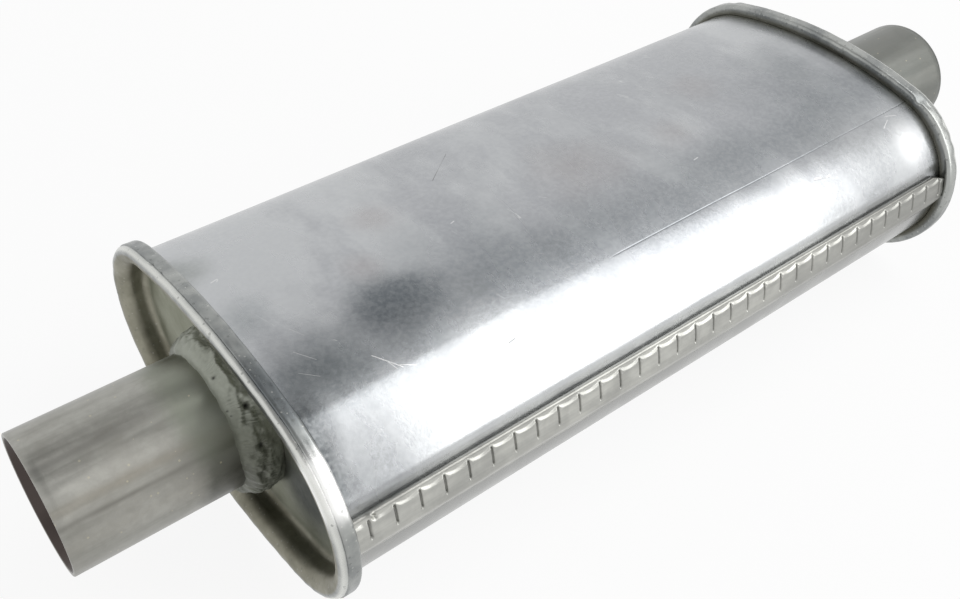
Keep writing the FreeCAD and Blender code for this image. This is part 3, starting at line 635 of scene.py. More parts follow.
# %% Section of the seam
LAYER = 0.88 * MM
SEAM_PROUD = 3 * LAYER
SEAM_FOOT = -4.2 * MM
STEP_TOP = 2.6 * MM
FOLD_RADIUS = 0.55 * MM
FOLD_LIFT = 12.9 * MM
FOLD_INSIDE = 0.08 * MM
SEAM_ROOT = -0.7 * MM
STAKE_PITCH = 9.5 * MM
FIRST_STAKE = INLET_FACE + 13.0 * MM
FACE_ROWS = 60
FOLD_STEPS = 8
print("seam stands proud by", round(SEAM_PROUD / MM, 2), "mm")

# %% [markdown]
# The face of one cell is worked out from two numbers: how far along the pitch we are, with the mark
# at one half, and how high on the flank. The pillow, the mark and the crease under the marks are
# separate small terms, so each can be tuned by itself.

# %% Height of the seam's face
PILLOW_RISE = 0.50 * MM
PILLOW_EDGE = 11.9 * MM
PILLOW_SAG = 1.15 * MM
PILLOW_ROUND = 1.1 * MM
HOLLOW_DEEP = 0.22 * MM
HOLLOW_LIFT = 8.3 * MM
HOLLOW_WIDE = 1.6 * MM
STAKE_DEEP = 0.80 * MM
STAKE_WIDE = 0.44 * MM
STAKE_TOP = 11.9 * MM
STAKE_FOOT = 4.0 * MM
STAKE_TOP_EASE = 0.7 * MM
STAKE_FOOT_EASE = 1.0 * MM
CREASE_LIFT = 3.4 * MM
CREASE_DEEP = 0.14 * MM
CREASE_WIDE = 0.7 * MM
# Pits at the ends of a mark as place beside it, lift, size and depth
STAKE_PITS = ((0.3, 10.7, 0.7, 0.35), (0.0, 4.7, 0.6, 0.35))


def stake_mask(share, lift):
    """Return 1 in the middle of a mark and 0 away from it."""
    aside = (share - 0.5) * STAKE_PITCH / STAKE_WIDE
    reach = smooth((STAKE_TOP - lift) / STAKE_TOP_EASE) * smooth((lift - STAKE_FOOT) / STAKE_FOOT_EASE)
    return math.exp(-(aside**4)) * reach


def seam_face(share, lift):
    """Return how far the seam's face stands off the oval."""
    body = SEAM_PROUD * smooth((lift - SEAM_FOOT) / (STEP_TOP - SEAM_FOOT))
    cell = (share + 0.5) % 1.0
    edge = PILLOW_EDGE - PILLOW_SAG * math.sin(math.pi * cell) ** 0.8
    body -= PILLOW_RISE * smooth((lift - edge) / PILLOW_ROUND + 0.5)
    body -= HOLLOW_DEEP * hump(lift, HOLLOW_LIFT, HOLLOW_WIDE) * math.sin(math.pi * cell)
    body -= STAKE_DEEP * stake_mask(share, lift)
    body -= CREASE_DEEP * hump(lift, CREASE_LIFT, CREASE_WIDE)
    for beside, pit_lift, size, deep in STAKE_PITS:
        body -= deep * MM * dimple((share - 0.5) * STAKE_PITCH / MM - beside, lift / MM - pit_lift, size)
    return body


def on_flank(x, lift, offset):
    """Return a point off the near flank, at a height along it."""
    angle = lift / FLANK_RADIUS
    reach = FLANK_RADIUS + offset
    return (x, -flank_centre - reach * math.cos(angle), reach * math.sin(angle))


def seam_ring(x, share, end_shape=None):
    """Return one closed section of the seam: face, fold over the top, and a buried root."""
    foot, top_lift, extra = end_shape(x) if end_shape else (SEAM_FOOT, FOLD_LIFT, ())
    ring = []
    for row in range(FACE_ROWS + 1):
        lift = foot + (top_lift - foot) * row / FACE_ROWS
        offset = seam_face(share, lift)
        for spot_x, spot_lift, size, rise in extra:
            offset += rise * MM * dimple(x / MM - spot_x, lift / MM - spot_lift, size)
        ring.append(on_flank(x, lift, offset))
    middle = (offset + FOLD_INSIDE) / 2
    for step in range(1, FOLD_STEPS + 1):
        angle = math.pi / 2 - math.pi * step / FOLD_STEPS
        lift = top_lift + FOLD_RADIUS * math.cos(angle)
        ring.append(on_flank(x, lift, middle + (offset - middle) * math.sin(angle)))
    ring.append(on_flank(x, top_lift, SEAM_ROOT))
    ring.append(on_flank(x, foot + max(0.0, (foot - SEAM_FOOT) * 0.2), SEAM_ROOT))
    return ring


def seam_strip(name, places, shares, end_shape=None, caps=""):
    """Make a strip of the seam, closed at its start, its end, or neither."""
    rings = [seam_ring(x, share, end_shape) for x, share in zip(places, shares)]
    vertices, faces = stitch(rings)
    count = len(rings[0])
    if "start" in caps:
        faces.append(tuple(range(count)))
    if "end" in caps:
        faces.append(tuple(range(len(vertices) - count, len(vertices))))
    return make_object(name, vertices, faces)


# %% [markdown]
# The marks are narrow and the cells between them are plain, so the rings crowd together near a mark
# and spread out between. The two ends aren't like the rest. By the near rim a burr and a torn pit
# stand where the first fold was nipped, and by the far rim the band's lower edge comes free of the
# shell and climbs, while its top edge droops.

# %% Make the tile and the two end strips
TILE_SHARES = [0.0, 0.06, 0.13, 0.20, 0.27, 0.33, 0.37, 0.40, 0.42, 0.44, 0.46, 0.48, 0.5]
TILE_SHARES += [1 - share for share in reversed(TILE_SHARES[:-1])]
SEAM_SETBACK = 8.0 * MM
seam_start = INLET_FACE + SEAM_SETBACK
seam_stop = OUTLET_FACE - SEAM_SETBACK
STAKES = 32
FINE_STEP = 0.3 * MM
FREE_RUN = 19.0 * MM
FREE_RISE = 6.5 * MM
DROOP_RUN = 7.0 * MM
DROOP = 2.2 * MM
# Burr and pits by the near rim, as place along X, lift, size and rise
NIPPED = ((76.0, 12.6, 0.8, 0.6), (77.3, 11.5, 0.7, -1.1), (73.0, 11.0, 1.4, -0.35), (72.0, 6.0, 1.6, -0.25))


def near_end(x):
    """Return the seam's foot, its top and its extra spots near the near rim."""
    return SEAM_FOOT, FOLD_LIFT, NIPPED


def far_end(x):
    """Return the seam's foot, its top and its extra spots near the far rim."""
    freed = smooth((x - (seam_stop - FREE_RUN)) / FREE_RUN)
    drooped = smooth((x - (seam_stop - DROOP_RUN)) / DROOP_RUN)
    return SEAM_FOOT + FREE_RISE * freed, FOLD_LIFT - DROOP * drooped, ()


tile_places = [(share - 0.5) * STAKE_PITCH for share in TILE_SHARES]
tile = seam_strip("seam_tile", tile_places, TILE_SHARES)


def fine_places(low, high):
    """Return ring places in fine steps between two ends, with their shares of a pitch."""
    steps = round((high - low) / FINE_STEP)
    places = [low + (high - low) * step / steps for step in range(steps + 1)]
    return places, [((x - FIRST_STAKE) / STAKE_PITCH + 0.5) % 1.0 for x in places]


last_stake = FIRST_STAKE + (STAKES - 1) * STAKE_PITCH
first_strip = seam_strip(
    "seam_first", *fine_places(seam_start, FIRST_STAKE + STAKE_PITCH / 2), near_end, caps="start"
)
last_strip = seam_strip(
    "seam_last", *fine_places(last_stake - STAKE_PITCH * 1.5, seam_stop), far_end, caps="end"
)
print("tile faces:", len(tile.data.polygons), "last stake at", round(last_stake / MM, 1), "mm")

# %% [markdown]
# The row itself is a Geometry Nodes tree. A mesh line gives one point per pitch, the tile is put on
# each point, and the copies are made real and merged so that the row is one skin. A noise then moves
# every point a little, so no two cells match, as on the real one.

# %% Node helpers


def feed(tree, socket, value):
    """Give an input its value, which is plain or another node's output."""
    if isinstance(value, bpy.types.NodeSocket):
        tree.links.new(value, socket)
    else:
        socket.default_value = value


def add_node(tree, kind, **settings):
    """Add a node. Settings are its properties, or with a leading 'in_' what its inputs get."""
    node = tree.nodes.new(kind)
    for name, value in settings.items():
        if name.startswith("in_"):
            feed(tree, node.inputs[name[3:].replace("_", " ")], value)
        else:
            setattr(node, name, value)
    return node


def maths(tree, operation, first, second=None):
    """Combine two numbers and return the result."""
    node = add_node(tree, "ShaderNodeMath", operation=operation)
    feed(tree, node.inputs[0], first)
    if second is not None:
        feed(tree, node.inputs[1], second)
    return node.outputs[0]


def vectors(tree, operation, first, second=None):
    """Combine two vectors, or scale one, and return the result."""
    node = add_node(tree, "ShaderNodeVectorMath", operation=operation)
    feed(tree, node.inputs[0], first)
    if second is not None:
        feed(tree, node.inputs["Scale" if operation == "SCALE" else 1], second)
    return node.outputs["Value" if operation in ("LENGTH", "DISTANCE", "DOT_PRODUCT") else "Vector"]


# %% Inputs of the seam row
ROW_INPUTS = {
    "Geometry": "Geometry",
    "Tile": "Object",
    "Ends": "Object",
    "Count": "Int",
    "First Place": "Float",
    "Pitch": "Float",
    "Wander": "Float",
    "Wander Scale": "Float",
    "Seed": "Float",
    "Material": "Material",
}
row_tree = bpy.data.node_groups.new("seam_row", "GeometryNodeTree")
row_tree.is_modifier = True
for label, kind in ROW_INPUTS.items():
    row_tree.interface.new_socket(label, in_out="INPUT", socket_type="NodeSocket" + kind)
row_tree.interface.new_socket("Geometry", in_out="OUTPUT", socket_type="NodeSocketGeometry")
print("seam row inputs:", list(ROW_INPUTS))

# %% Geometry Nodes row of seam tiles
given = add_node(row_tree, "NodeGroupInput").outputs
row_start = add_node(row_tree, "ShaderNodeCombineXYZ", in_X=given["First Place"])
row_step = add_node(row_tree, "ShaderNodeCombineXYZ", in_X=given["Pitch"])
row_line = add_node(
    row_tree, "GeometryNodeMeshLine", mode="OFFSET", in_Count=given["Count"],
    in_Start_Location=row_start.outputs[0], in_Offset=row_step.outputs[0],
)
tile_info, ends_info = (
    add_node(row_tree, "GeometryNodeObjectInfo", transform_space="ORIGINAL", in_Object=given[label])
    for label in ("Tile", "Ends")
)
copies = add_node(
    row_tree, "GeometryNodeInstanceOnPoints",
    in_Points=row_line.outputs["Mesh"], in_Instance=tile_info.outputs["Geometry"],
)
joined = add_node(row_tree, "GeometryNodeJoinGeometry")
for part in (copies.outputs["Instances"], ends_info.outputs["Geometry"]):
    feed(row_tree, joined.inputs[0], part)
real = add_node(row_tree, "GeometryNodeRealizeInstances", in_Geometry=joined.outputs[0])
merged = add_node(
    row_tree, "GeometryNodeMergeByDistance", in_Geometry=real.outputs[0], in_Distance=0.01 * MM
)

# %% Make no two cells alike
ripple = add_node(
    row_tree, "ShaderNodeTexNoise", noise_dimensions="4D", in_Detail=2.0, in_W=given["Seed"],
    in_Vector=add_node(row_tree, "GeometryNodeInputPosition").outputs[0], in_Scale=given["Wander Scale"],
)
amount = maths(row_tree, "MULTIPLY", maths(row_tree, "SUBTRACT", ripple.outputs[0], 0.5), given["Wander"])
push = vectors(row_tree, "SCALE", add_node(row_tree, "GeometryNodeInputNormal").outputs[0], amount)
moved = add_node(row_tree, "GeometryNodeSetPosition", in_Geometry=merged.outputs[0], in_Offset=push)
painted = add_node(
    row_tree, "GeometryNodeSetMaterial", in_Geometry=moved.outputs[0], in_Material=given["Material"]
)
add_node(row_tree, "NodeGroupOutput", in_Geometry=painted.outputs[0])
print("seam row tree nodes:", len(row_tree.nodes))

# %% [markdown]
# ## Materials
# Metal shows its surroundings more than itself, so each finish here is a plain metal whose colour is
# close to what the eye sees, with a roughness that wanders. Clouds, streaks, specks and scratches
# recur on several pieces, so each is a node group with named inputs, built once. Every group takes a
# place and gives a mask, so one builder starts them all.

# %% Colour helpers and the group builder


def tone(red, green, blue):
    """Turn a colour as seen on a screen, 0 to 255, into the linear values that nodes use."""
    shares = [part / 255 for part in (red, green, blue)]
    linear = [part / 12.92 if part <= 0.04045 else ((part + 0.055) / 1.055) ** 2.4 for part in shares]
    return (*linear, 1.0)


def between(tree, source, low, high, low_out=0.0, high_out=1.0):
    """Map a value smoothly from a range to 0..1, or to the given outputs."""
    node = add_node(tree, "ShaderNodeMapRange", interpolation_type="SMOOTHSTEP")
    for index, value in enumerate((source, low, high, low_out, high_out)):
        feed(tree, node.inputs[index], value)
    return node.outputs[0]


def blend_colour(tree, factor, under, over):
    """Mix two colours by a factor."""
    node = add_node(tree, "ShaderNodeMix", data_type="RGBA")
    for index, value in ((0, factor), (6, under), (7, over)):
        feed(tree, node.inputs[index], value)
    return node.outputs[2]


def new_group(name, **inputs):
    """Start a group that turns a place into a mask. Return it, what it is given and its mask."""
    group = bpy.data.node_groups.new(name, "ShaderNodeTree")
    for label, value in {"Place": (0.0, 0.0, 0.0), **inputs}.items():
        kind = "NodeSocketVector" if isinstance(value, tuple) else "NodeSocketFloat"
        group.interface.new_socket(label, in_out="INPUT", socket_type=kind).default_value = value
    group.interface.new_socket("Mask", in_out="OUTPUT", socket_type="NodeSocketFloat")
    ends = (add_node(group, "NodeGroupInput"), add_node(group, "NodeGroupOutput"))
    return group, ends[0].outputs, ends[1].inputs["Mask"]


# %% [markdown]
# Clouds are a broad noise whose edges are broken up by a finer one, as on aluminised sheet where the
# coating froze unevenly.

# %% Cloud group
clouds, given, mask = new_group("coating_clouds", Scale=20.0, Low=0.4, High=0.6)
broad = add_node(
    clouds, "ShaderNodeTexNoise", in_Vector=given["Place"], in_Scale=given["Scale"],
    in_Detail=5.0, in_Roughness=0.62, in_Distortion=0.25,
)
feed(clouds, mask, between(clouds, broad.outputs[0], given["Low"], given["High"]))
print("cloud group nodes:", len(clouds.nodes))

# %% [markdown]
# Streaks are noise stretched along one axis: the marks that rollers and drawing dies leave.

# %% Streak group
streaks, given, mask = new_group("drawn_streaks", Scale=200.0, Stretch=(0.04, 1.0, 1.0))
fine = add_node(
    streaks, "ShaderNodeTexNoise", in_Vector=vectors(streaks, "MULTIPLY", given["Place"], given["Stretch"]),
    in_Scale=given["Scale"], in_Detail=3.0, in_Roughness=0.6,
)
feed(streaks, mask, between(streaks, fine.outputs[0], 0.32, 0.68))
print("streak group nodes:", len(streaks.nodes))

# %% [markdown]
# A soft spot is a cloud at one chosen place: a ball with a ragged edge. It puts a stain, a rub, a
# painted shadow or a painted reflection just where the real part shows one.

# %% Soft spot group
spot, given, mask = new_group(
    "soft_spot", Centre=(0.0, 0.0, 0.0), Size=0.03, Ragged=0.01, Squeeze=(1.0, 1.0, 1.0), Soft=0.15
)
ragged = add_node(spot, "ShaderNodeTexNoise", in_Vector=given["Place"], in_Scale=45.0, in_Detail=3.0)
ragged_by = maths(spot, "MULTIPLY", maths(spot, "SUBTRACT", ragged.outputs[0], 0.5), given["Ragged"])
away = vectors(spot, "MULTIPLY", vectors(spot, "SUBTRACT", given["Place"], given["Centre"]), given["Squeeze"])
gap = maths(spot, "ADD", vectors(spot, "LENGTH", away), ragged_by)
gap_share = maths(spot, "DIVIDE", gap, given["Size"])
feed(spot, mask, between(spot, gap_share, given["Soft"], 1.0, 1.0, 0.0))
print("soft spot nodes:", len(spot.nodes))

# %% [markdown]
# Specks are the cores of a cell pattern, kept only where a cell's own random number lets them through.

# %% Speck group
specks, given, mask = new_group("specks", Scale=300.0, Size=0.12, Rarity=0.6)
cells = add_node(
    specks, "ShaderNodeTexVoronoi", in_Vector=given["Place"], in_Scale=given["Scale"], in_Randomness=1.0
)
picked = add_node(specks, "ShaderNodeSeparateColor", in_Color=cells.outputs["Color"])
core = maths(specks, "LESS_THAN", cells.outputs["Distance"], given["Size"])
kept = maths(specks, "GREATER_THAN", picked.outputs[0], given["Rarity"])
feed(specks, mask, maths(specks, "MULTIPLY", core, kept))
print("speck group nodes:", len(specks.nodes))

# %% [markdown]
# A scratch field is thin level lines of a long stretched noise, cut into short pieces by another.

# %% Scratch group
scratches, given, mask = new_group(
    "scratches", Turn=(0.0, 0.0, 0.0), Scale=60.0, Width=0.006, Rarity=0.6
)
turned = add_node(
    scratches, "ShaderNodeVectorRotate", rotation_type="EULER_XYZ",
    in_Vector=given["Place"], in_Rotation=given["Turn"],
)
long_way = vectors(scratches, "MULTIPLY", turned.outputs[0], (0.12, 1.0, 1.0))
lines = add_node(scratches, "ShaderNodeTexNoise", in_Vector=long_way, in_Scale=given["Scale"], in_Detail=0.0)
pieces = add_node(
    scratches, "ShaderNodeTexNoise", in_Vector=given["Place"], in_Scale=90.0, in_Detail=1.0
)
off_line = maths(scratches, "ABSOLUTE", maths(scratches, "SUBTRACT", lines.outputs[0], 0.5))
on_line = maths(scratches, "LESS_THAN", off_line, given["Width"])
kept_piece = maths(scratches, "GREATER_THAN", pieces.outputs[0], given["Rarity"])
feed(scratches, mask, maths(scratches, "MULTIPLY", on_line, kept_piece))
print("scratch group nodes:", len(scratches.nodes))

# %% [markdown]
# The scratches that one remembers are single ones, so a last group draws one straight nick between
# two places: the distance to a segment, which is what the dot product gives.

# %% Single scratch group
nick, given, mask = new_group(
    "single_scratch", Start=(0.0, 0.0, 0.0), Along=(0.0, 0.0, 0.0), Width=0.0002
)
from_start = vectors(nick, "SUBTRACT", given["Place"], given["Start"])
along_dot = vectors(nick, "DOT_PRODUCT", from_start, given["Along"])
along_size = vectors(nick, "DOT_PRODUCT", given["Along"], given["Along"])
nick_share = maths(nick, "MAXIMUM", maths(nick, "DIVIDE", along_dot, along_size), 0.0)
nearest = vectors(nick, "SCALE", given["Along"], maths(nick, "MINIMUM", nick_share, 1.0))
nick_gap = maths(nick, "DIVIDE", vectors(nick, "DISTANCE", from_start, nearest), given["Width"])
feed(nick, mask, between(nick, nick_gap, 0.5, 1.0, 1.0, 0.0))
print("single scratch nodes:", len(nick.nodes))

# %% [markdown]
# A material is then a base colour with one thing laid over another. These helpers keep each layer to
# one line.

# %% Helpers that place a group in a material


def new_metal(name, metallic=1.0):
    """Start a material and return it with its tree, its shader and the Object coordinates."""
    material = bpy.data.materials.new(name)
    material.use_nodes = True
    tree = material.node_tree
    shader = tree.nodes["Principled BSDF"]
    shader.inputs["Metallic"].default_value = metallic
    coordinates = add_node(tree, "ShaderNodeTexCoord")
    return material, tree, shader, coordinates.outputs["Object"]


def use_group(tree, group, spot_place, **values):
    """Place a group, feed it a place and set its named inputs. Return its mask."""
    node = add_node(tree, "ShaderNodeGroup", node_tree=group)
    for label, value in {"Place": spot_place, **values}.items():
        feed(tree, node.inputs[label], value)
    return node.outputs["Mask"]


def soft_patch(tree, spot_place, centre, size, ragged, soft, squeeze=1.0):
    """Return the mask of one soft spot, with sizes in millimetres and a squeeze along X."""
    return use_group(
        tree, spot, spot_place, Centre=centre, Size=size * MM, Ragged=ragged * MM,
        Squeeze=(squeeze, 1.0, 1.0), Soft=soft,
    )


def cloudy(tree, spot_place, scale, low, high, dark, light):
    """Return a colour that goes from one shade to another in clouds."""
    mask = use_group(tree, clouds, spot_place, Scale=scale, Low=low, High=high)
    return blend_colour(tree, mask, tone(*dark), tone(*light))


def lay(tree, colour, mask, strength, shade):
    """Lay a shade over a colour where a mask is, at a strength that is a number or a socket."""
    return blend_colour(tree, maths(tree, "MULTIPLY", mask, strength), colour, tone(*shade))


def along(tree, spot_place, axis):
    """Return one coordinate of a place."""
    return add_node(tree, "ShaderNodeSeparateXYZ", in_Vector=spot_place).outputs[axis]


def carried(tree, label):
    """Return a number that the mesh carries at its points."""
    return add_node(tree, "ShaderNodeAttribute", attribute_name=label).outputs["Fac"]


def level(tree, factor, low, high):
    """Turn a 0..1 mask into a range of values."""
    node = add_node(tree, "ShaderNodeMapRange", in_Value=factor, in_To_Min=low, in_To_Max=high)
    return node.outputs[0]


def paint(tree, shader, colour, roughness, relief, deep, strength):
    """Give a shader its colour, its roughness and a fine relief."""
    bump = add_node(tree, "ShaderNodeBump", in_Strength=strength, in_Distance=deep, in_Height=relief)
    for label, value in (("Base Color", colour), ("Roughness", roughness), ("Normal", bump.outputs[0])):
        feed(tree, shader.inputs[label], value)


# %% [markdown]
# ## Shell finish
# The shell is aluminised sheet: a neutral grey with clouds drawn out round the body, brownish rubs on
# the top, and a few nicks, each where the real one has it. Most of the soft marks are painted
# reflections and shade: a dark band and a dark blotch before the shoulder, dark spots by the near rim
# and on the far top, a grey spot that dims the highlight's far end, and a bright strip above the seam
# and a bright spot by the far rim. Below the seam the flank is painted darker as shade, and the row
# of points in the hairline's groove is painted darker too, as painted shade.

# %% Places on the shell
# A spot's edge wanders by a share of its size, and from EVEN_FROM softness up by the smaller one
RAGGED_EDGE = 0.9
EVEN_EDGE = 0.25
EVEN_FROM = 0.2
NICK_STRENGTH = 0.8
# Soft marks as place along X, run, size, squeeze along X, softness, strength and colour
SHELL_RUBS_AND_PAINTED_LIGHT = (
    # Painted reflections and shade: dark bands, a dark blotch, dark and bright spots by the highlight
    (220, 60, 26, 0.01, 0.00, 0.60, (122, 127, 131)),
    (220, 16.5, 4, 0.01, 0.00, 0.50, (226, 228, 228)),
    (84, 20, 24, 0.8, 0.00, 0.45, (104, 108, 110)),
    (360, 31, 15, 1.2, 0.20, 0.70, (250, 251, 252)),
    (67, 24, 13, 1.0, 0.20, 0.85, (70, 74, 76)),
    (67, 34, 13, 1.1, 0.20, 0.90, (62, 66, 68)),
    (67, 46, 17, 1.0, 0.20, 0.92, (62, 66, 68)),
    (335, 30, 42, 0.8, 0.00, 0.45, (140, 142, 142)),
    (122, 73, 17, 0.6, 0.10, 0.85, (88, 94, 99)),
    (150, 78, 36, 0.6, 0.00, 0.30, (112, 118, 124)),
    (86, 60, 20, 0.8, 0.00, 0.60, (108, 115, 118)),
    # Darker patches by the near rim's top
    (76, 92, 17, 1.2, 0.10, 0.45, (124, 130, 132)),
    (70, 128, 16, 1.0, 0.10, 0.50, (112, 118, 112)),
    # Brownish rubs on the top
    (140, 113, 15, 1.1, 0.00, 0.45, (158, 152, 152)),
    (122, 91, 12, 1.1, 0.00, 0.40, (154, 148, 148)),
    (220, 91, 24, 0.8, 0.00, 0.45, (158, 153, 153)),
    (268, 86, 14, 1.0, 0.00, 0.40, (156, 152, 152)),
    (300, 107, 16, 0.9, 0.00, 0.35, (156, 152, 152)),
    # A painted dark reflection on the far top
    (345, 84, 40, 0.8, 0.00, 0.70, (122, 126, 130)),
)
# Single nicks as place and run of both ends, width and brightness
SHELL_NICKS = (
    (102, 56.6, 108, 48.0, 0.24, 228),
    (105, 52.0, 106, 48.5, 0.20, 222),
    (107, 49.5, 112, 46.5, 0.20, 218),
    (79, 63, 84, 58.5, 0.14, 200),
    (82, 71, 86.5, 64.5, 0.14, 204),
    (86, 80, 88.5, 75, 0.13, 196),
    (262, 69.0, 264.4, 69.3, 0.26, 220),
    (300, 36.8, 308, 35.1, 0.22, 150),
    (301, 37.2, 304, 36.6, 0.34, 244),
    (307, 35.6, 309, 35.8, 0.34, 244),
    (351, 42, 356, 44.4, 0.24, 218),
    (357, 46.4, 362, 44.6, 0.22, 214),
    (171, 118, 187, 131, 0.20, 112),
    (76.8, 115.0, 79.3, 115.6, 0.30, 216),
    (78.6, 114.3, 79.4, 115.2, 0.24, 214),
    (144, 38.2, 147, 38.6, 0.30, 110),
    (160, 92, 161.6, 92.4, 0.25, 218),
)


def on_shell(x, run):
    """Return the place on the shell at millimetres along X and along the sheet from the near tip."""
    y, z, across, up = oval(0.5 - run * MM / PERIMETER)
    return Vector((x * MM, y, z))


print("marks on the shell:", len(SHELL_RUBS_AND_PAINTED_LIGHT), "soft,", len(SHELL_NICKS), "sharp")

# %% Shell material
shell_steel, tree, shader, spot_place = new_metal("shell_steel")
broad_place = add_node(
    tree, "ShaderNodeMapping", in_Vector=spot_place, in_Scale=(1.6, 0.7, 1.0)
).outputs[0]
colour = cloudy(tree, broad_place, 15.0, 0.40, 0.60, (166, 168, 171), (184, 186, 188))
for x, run, size, squeeze, soft, strength, shade in SHELL_RUBS_AND_PAINTED_LIGHT:
    edge = EVEN_EDGE if soft >= EVEN_FROM else RAGGED_EDGE
    patch = soft_patch(tree, spot_place, on_shell(x, run), size, size * edge, soft, squeeze)
    colour = lay(tree, colour, patch, strength, shade)
grain = use_group(tree, clouds, spot_place, Scale=520.0, Low=0.30, High=0.70)
colour = lay(tree, colour, grain, 0.16, (206, 208, 208))
marks = use_group(tree, scratches, broad_place, Turn=(0.2, 0.1, 0.9), Scale=90.0, Width=0.0022, Rarity=0.66)
colour = lay(tree, colour, marks, 0.40, (222, 223, 222))
for x, run, end_x, end_run, width, grey in SHELL_NICKS:
    start = on_shell(x, run)
    way = on_shell(end_x, end_run) - start
    cut = use_group(tree, nick, spot_place, Start=start, Along=way, Width=width * MM)
    colour = lay(tree, colour, cut, NICK_STRENGTH, (grey, grey, grey))
# Below the seam the flank is painted darker and warmer, a painted shade of the lower side
below_seam = between(tree, along(tree, spot_place, "Z"), -4 * MM, 2 * MM, 0.75, 0.0)
colour = blend_colour(tree, below_seam, colour, tone(150, 150, 146))
# Painted shade in the hairline's groove
colour = lay(tree, colour, carried(tree, "hairline"), 0.75, (84, 88, 92))
rough = use_group(tree, clouds, broad_place, Scale=30.0, Low=0.35, High=0.65)
paint(tree, shader, colour, level(tree, rough, 0.22, 0.30), grain, 0.015 * MM, 0.7)
print("shell finish nodes:", len(tree.nodes))

# %% [markdown]
# The seam has the same coating, worked harder: lines along it from the rollers, painted shade in the
# pressed marks and at the top of the fold, and a far end painted darker as shade.

# %% Seam material
seam_steel, tree, shader, spot_place = new_metal("seam_steel")
colour = cloudy(tree, spot_place, 60.0, 0.35, 0.65, (172, 172, 167), (194, 194, 188))
roller_lines = use_group(tree, streaks, spot_place, Scale=420.0, Stretch=(0.02, 1.0, 1.0))
colour = lay(tree, colour, roller_lines, 0.30, (142, 143, 141))
# The far end is painted darker, as painted shade
far_painted_shade = between(tree, along(tree, spot_place, "X"), 220 * MM, OUTLET_FACE, 0.0, 0.80)
colour = blend_colour(tree, far_painted_shade, colour, tone(138, 138, 134))
# Painted shade in the pressed marks and at the top of the fold
colour = lay(tree, colour, carried(tree, "groove"), 0.7, (88, 88, 84))
paint(tree, shader, colour, level(tree, roller_lines, 0.30, 0.42), roller_lines, 0.03 * MM, 0.5)
print("seam finish nodes:", len(tree.nodes))

# %% [markdown]
# A head has three zones: the rolled rim outside, the wall of the mouth and the plate. A number that
# the mesh carries says which zone a point is in. Over them come the worn lip, brightened also as a
# painted sheen, a painted shadow on the plate below the pipe, a painted dark reflection and a painted
# highlight on the rim, and flecks of two kinds.

# %% Head material
head_steel, tree, shader, spot_place = new_metal("head_steel")
shelter = carried(tree, "shelter")
wear_and_sheen = carried(tree, "wear_and_sheen")
rim_colour = cloudy(tree, spot_place, 45.0, 0.35, 0.65, (128, 131, 131), (168, 170, 167))
wall_colour = cloudy(tree, spot_place, 25.0, 0.35, 0.65, (124, 122, 108), (160, 158, 144))
plate_colour = cloudy(tree, spot_place, 40.0, 0.3, 0.7, (148, 150, 134), (176, 178, 164))
colour = blend_colour(tree, between(tree, shelter, 0.0, 0.5), rim_colour, wall_colour)
colour = blend_colour(tree, between(tree, shelter, 0.6, 1.0), colour, plate_colour)
# Painted shadow on the plate below the pipe
plate_place = (INLET_FACE + RECESS_DEPTH, -42 * MM, -10 * MM)
plate_shade = soft_patch(tree, spot_place, plate_place, 30, 6, 0.1)
colour = lay(tree, colour, plate_shade, 0.88, (66, 70, 70))
# A painted dark reflection on the rim, and a painted highlight outside the mouth
painted_rim_reflection = soft_patch(tree, spot_place, on_shell(66, 58), 23, 5, 0.4)
colour = lay(tree, colour, painted_rim_reflection, 0.7, (92, 98, 102))
painted_rim_highlight = soft_patch(tree, spot_place, on_shell(66, 27), 15, 3, 0.5)
colour = lay(tree, colour, painted_rim_highlight, between(tree, shelter, 0.05, 0.35, 0.95, 0.0), (253, 253, 251))
# The lip's crest is worn bright and also given a painted sheen
colour = lay(tree, colour, wear_and_sheen, 0.85, (216, 217, 212))
outer_side = level(tree, shelter, 0.40, 0.0)
flecks = use_group(tree, specks, spot_place, Scale=520.0, Size=0.26, Rarity=0.70)
colour = lay(tree, colour, flecks, outer_side, (96, 98, 96))
pale_flecks = use_group(tree, specks, spot_place, Scale=700.0, Size=0.22, Rarity=0.76)
colour = lay(tree, colour, pale_flecks, outer_side, (214, 214, 208))
rough = use_group(tree, clouds, spot_place, Scale=160.0, Low=0.3, High=0.7)
roughness = maths(tree, "SUBTRACT", level(tree, rough, 0.24, 0.38), maths(tree, "MULTIPLY", wear_and_sheen, 0.10))
roughness = maths(tree, "ADD", roughness, maths(tree, "MULTIPLY", shelter, 0.30))
paint(tree, shader, colour, roughness, rough, 0.05 * MM, 0.6)
print("head finish nodes:", len(tree.nodes))

# %% [markdown]
# The stubs carry long streaks from the draw bench. Lengthwise light and dark bands at set angles are
# painted reflections, and a brownish one is a stain. Near the weld the heat and smoke left a dark
# greenish collar with a soft edge, on both stubs alike, so the mask is measured from each mouth. The
# collar is painted darker towards the bottom as shade, the outlet stub is painted darker as shade, and
# the bore is painted dark as shade inside the tube.

# %% Pipe material
# Long marks as angle round the stub, size, strength and colour: painted reflections and one stain
PIPE_REFLECTIONS_AND_STAIN = (
    (70, 2.4, 0.45, (104, 104, 100)),
    (26, 2.0, 0.60, (92, 90, 84)),
    (97, 4.5, 0.25, (180, 180, 175)),
    (50, 6.0, 0.30, (182, 181, 175)),
    (38, 3.5, 0.18, (150, 134, 108)),
    (8, 4.0, 0.30, (170, 168, 160)),
)
STREAK_PLACE = 20 * MM
STREAK_SQUEEZE = 0.04
MIDDLE = (INLET_MOUTH + OUTLET_MOUTH) / 2

